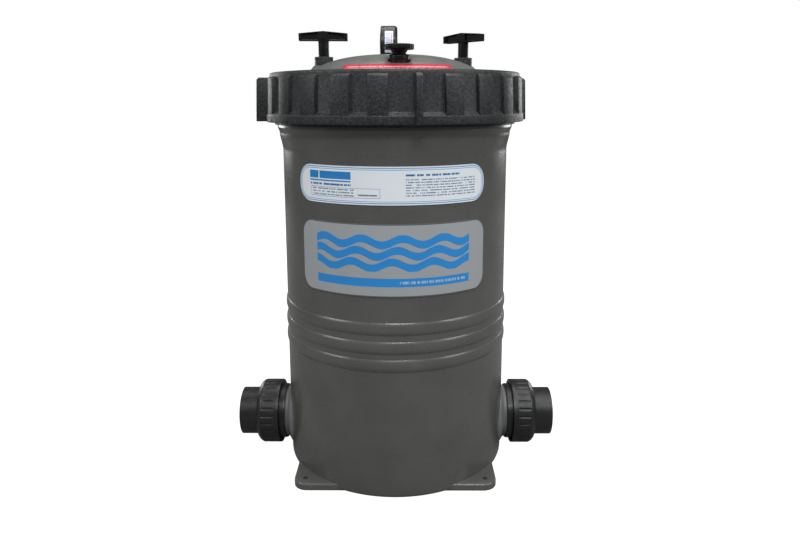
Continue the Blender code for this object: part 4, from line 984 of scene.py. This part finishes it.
def makeDrain():
    # plug with a flange, a groove for its seal and a hexagon head
    s = drainShape
    low, high = boxOf("drain_plug")
    place = alongY((low.z + high.z) / 2)
    tip, face = high.y, high.y - s["headLength"]
    flange = [(0, face + 4), (s["flange"], face + 4, 1.0), (s["flange"], face, 0.6), (11.9, face),
              (11.9, face + 1.7), (8.4, face + 1.7), (8.4, low.y + 1, 0.8), (0, low.y)]
    dress(spinShape("drainPlug", flange, steps=64, place=place), "drain_plug", "gloss", "drain_plug")
    bm = bmesh.new()
    cylinderMesh(bm, s["spanner"] / math.sqrt(3), face + 3, tip, segments=6)
    bevelAll(bm, bm.edges[:], 0.8, 3)
    turned = place @ Matrix.Rotation(math.pi / 6, 4, "Z")
    dress(finishShape("drainPlugHead", bm, turned), "drain_plug", "gloss")


cartridgeShape = {"radius": 133.0, "pleats": 110, "outer": 129.3, "inner": 43.0, "cloth": 0.9}


def makeCartridge():
    s = cartridgeShape
    low, high = boxOf("cartridge_media")
    outline = []
    count = s["pleats"] * 8
    for i in range(count):
        t = (i / 8) % 1
        fold = abs(2 * t - 1)
        radius = s["inner"] + (s["outer"] - s["inner"]) * min(1.0, max(0.0, (fold - 0.06) / 0.88))
        a = 2 * math.pi * i / count
        outline.append((radius * math.cos(a), radius * math.sin(a)))
    bm = bmesh.new()
    ring = [bm.verts.new((x * mm, y * mm, low.z * mm)) for x, y in outline]
    edges = [bm.edges.new(pair) for pair in zip(ring, ring[1:] + ring[:1])]
    raised = bmesh.ops.extrude_edge_only(bm, edges=edges)["geom"]
    bmesh.ops.translate(bm, vec=(0, 0, (high.z - low.z) * mm),
                        verts=[g for g in raised if isinstance(g, bmesh.types.BMVert)])
    bmesh.ops.recalc_face_normals(bm, faces=bm.faces)
    media = finishShape("pleatedMedia", bm, sharp=60)
    shell = media.modifiers.new("cloth", "SOLIDIFY")
    shell.thickness = s["cloth"] * mm
    shell.offset = 0
    dress(media, "cartridge", "cloth", "cartridge_media")
    low, high = boxOf("cartridge_bottom_cap")
    bottom = [(28.2, low.z, 0.6), (28.2, low.z + 6.2, 0.6), (130.6, low.z + 6.2, 1.2), (130.6, high.z, 0.6),
              (s["radius"], high.z, 0.9), (s["radius"], low.z, 2.5)]
    dress(spinShape("bottomCap", bottom, True, 128), "cartridge", "blue", "cartridge_bottom_cap")
    low, high = boxOf("cartridge_top_cap")
    top = [(0, high.z - 1.5), (30, high.z - 1.5, 1), (34, high.z, 1), (46, high.z, 1), (50, high.z - 1.5, 1),
           (112, high.z - 1.5, 1), (116, high.z, 1), (s["radius"], high.z, 2.5), (s["radius"], low.z, 0.9),
           (130.6, low.z, 0.6), (130.6, high.z - 6.2, 1.2), (0, high.z - 6.2)]
    dress(spinShape("topCap", top, steps=128), "cartridge", "blue", "cartridge_top_cap")
    for name in ("lower", "upper"):
        low, high = boxOf(f"cartridge_{name}_band")
        band = [(130.4, low.z, 0.2), (130.4, high.z, 0.2), (131.6, high.z, 0.5), (131.6, low.z, 0.5)]
        dress(spinShape(name + "Band", band, True, 128), "cartridge", "white",
              f"cartridge_{name}_band")


sealShape = (
    # name, node, body, mean radius, section radius, axis
    ("lidSeal", "lid_o_ring", "lid", 146.9, 2.75, "z"),
    ("seatSeal", "seat_o_ring", "tank", 26.2, 1.65, "z"),
    ("leftUnionSeal", "left_union_o_ring", "left_union", 34.0, 1.9, "x"),
    ("rightUnionSeal", "right_union_o_ring", "right_union", 34.0, 1.9, "x"),
    ("drainSeal", "drain_o_ring", "drain_seal", 10.3, 1.3, "y"),
)


def makeSeals():
    turns = {"z": Matrix(), "x": Matrix.Rotation(math.pi / 2, 4, "Y"),
             "y": Matrix.Rotation(math.pi / 2, 4, "X")}
    for name, node, body, mean, section, axis in sealShape:
        at = middleOf(node)
        outline = [(mean + section * math.cos(a), section * math.sin(a))
                   for a in [2 * math.pi * i / 16 for i in range(16)]]
        place = Matrix.Translation(at * mm) @ turns[axis]
        dress(spinShape(name, outline, True, 128, place), body, "rubber", node)


keptNodes = {
    "rubber": ("bleed_valve_washer", "gauge_washer"),
    "steel": ("bleed_valve_spindle",),
    "brass": ("gauge_stem", "gauge_movement", "gauge_bourdon_tube"),
    "red": ("gauge_pointer",),
    "white": ("cartridge_core", "outlet_elbow", "cartridge_seat", "air_relief_tube", "air_relief_screen",
              "inlet_diffuser"),
}


def dressKept():
    for key, nodes in keptNodes.items():
        for node in nodes:
            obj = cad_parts[node]
            obj.data.materials.clear()
            obj.data.materials.append(mats[key])


warningShape = {"halfArc": 37.0, "turn": 3.4, "inner": 111.2, "outer": 131.0, "lift": 0.55, "thick": 0.3}


def makeWarning():
    # a red band that follows the dome's front
    s = warningShape
    halfArc, middle = math.radians(s["halfArc"]), (s["inner"] + s["outer"]) / 2
    rows = []
    for i in range(49):
        share = i / 24 - 1
        a = -math.pi / 2 + math.radians(s["turn"]) + halfArc * share
        row = []
        for k in range(5):
            r = s["inner"] + (s["outer"] - s["inner"]) * k / 4
            row.append(((r * math.cos(a), r * math.sin(a), domeHeight(r) + s["lift"]),
                        (middle * halfArc * share, middle - r)))
        rows.append(row)
    bm = sheetMesh(rows)
    if sum(f.normal.z for f in bm.faces) < 0:
        bmesh.ops.reverse_faces(bm, faces=bm.faces)
    obj = finishShape("warningLabel", bm)
    shell = obj.modifiers.new("thickness", "SOLIDIFY")
    shell.thickness = s["thick"] * mm
    shell.offset = -1
    art = filmMaterial("printed film, red", "#b82737", 0.42, {"IOR": 1.5}, warningArt)
    dress(obj, "lid", ("red_film", art), "warning_label")


makeTank()
print("tank made")
makeRing()
makeLid()
print("ring and lid made")
makeHandles()
makeBleedValve()
makeGauge()
makeSticker()
makeWarning()
print("lid fittings made")
badge = filmMaterial("printed film, silver", "#a6abaf", 0.5, {"IOR": 1.5, "Metallic": 0.1}, badgeArt)
instructions = filmMaterial("printed film, pale blue", "#ecf2f8", 0.36, {"IOR": 1.5}, instructionArt)
wallLabel("nameBadge", "name_badge", wallLabels["badge"], ("silver_film", badge))
wallLabel("instructionLabel", "instruction_label", wallLabels["instructions"], ("white_film", instructions))
makeUnions()
makeDrain()
makeCartridge()
makeSeals()
dressKept()
print("unions, drain, cartridge and seals made")


stageLight = {"sky": 0.14, "paperGlow": 1.0}

lamps = (
    # name, place and aim in metres, size, power
    ("front", (0.15, -1.9, 2.1), (0, 0, 0.3), (1.0, 0.6), 27),
    ("left", (-1.9, -0.9, 1.6), (0, 0, 0.3), (1.0, 1.2), 18),
    ("right", (1.9, -0.9, 1.6), (0, 0, 0.3), (1.0, 1.2), 19),
    ("top", (0.2, 0.1, 2.3), (0, 0, 0.4), (2.6, 1.2), 33),
    ("backLeft", (-1.8, 1.9, 0.8), (0, 0, 0.3), (0.9, 1.0), 15),
    ("backRight", (1.8, 1.9, 0.8), (0, 0, 0.3), (0.9, 1.0), 15),
)


def makeStage():
    bm = bmesh.new()
    bmesh.ops.create_grid(bm, x_segments=1, y_segments=1, size=30)
    floor = finishShape("floor", bm)
    material, tree, shader = plainMaterial("studio paper, white", "#7c7c7c", 0.95)
    seen = addNode(tree, "ShaderNodeLightPath").outputs["Is Camera Ray"]
    lift = calc(tree, "MULTIPLY", seen, stageLight["paperGlow"])
    shader.inputs["Emission Color"].default_value = (1, 1, 1, 1)
    tree.links.new(lift, shader.inputs["Emission Strength"])
    floor.data.materials.append(material)
    world = bpy.context.scene.world or bpy.data.worlds.new("studio")
    bpy.context.scene.world = world
    world.use_nodes = True
    background = world.node_tree.nodes["Background"]
    background.inputs["Color"].default_value = (1, 1, 1, 1)
    seen = addNode(world.node_tree, "ShaderNodeLightPath").outputs["Is Camera Ray"]
    level = addNode(world.node_tree, "ShaderNodeMapRange", None,
                    {"Value": seen, "To Min": stageLight["sky"], "To Max": 1.0})
    world.node_tree.links.new(level.outputs["Result"], background.inputs["Strength"])


def addLamp(name, at, aim, size, power):
    lamp = bpy.data.lights.new(name, "AREA")
    lamp.shape = "RECTANGLE"
    lamp.size, lamp.size_y = size
    lamp.energy = power
    obj = bpy.data.objects.new(name, lamp)
    obj.location = at
    obj.rotation_euler = (Vector(aim) - Vector(at)).to_track_quat("-Z", "Y").to_euler()
    bpy.context.scene.collection.objects.link(obj)


cameraAim = {"at": (0.0152, -0.9721, 0.5428), "lens": 29.34, "turnLeft": 0.49, "pitchDown": 14.4,
             "roll": 0.16}


def makeCamera():
    s = cameraAim
    data = bpy.data.cameras.new("camera")
    data.lens = s["lens"]
    data.sensor_width = 36
    camera = bpy.data.objects.new("camera", data)
    camera.matrix_world = (Matrix.Translation(s["at"])
                           @ Matrix.Rotation(math.radians(s["turnLeft"]), 4, "Z")
                           @ Matrix.Rotation(math.radians(90 - s["pitchDown"]), 4, "X")
                           @ Matrix.Rotation(math.radians(-s["roll"]), 4, "Z"))
    bpy.context.scene.collection.objects.link(camera)
    bpy.context.scene.camera = camera


makeStage()
for lamp in lamps:
    addLamp(*lamp)
makeCamera()
bpy.context.scene.view_settings.view_transform = "Standard"
print("stage made")
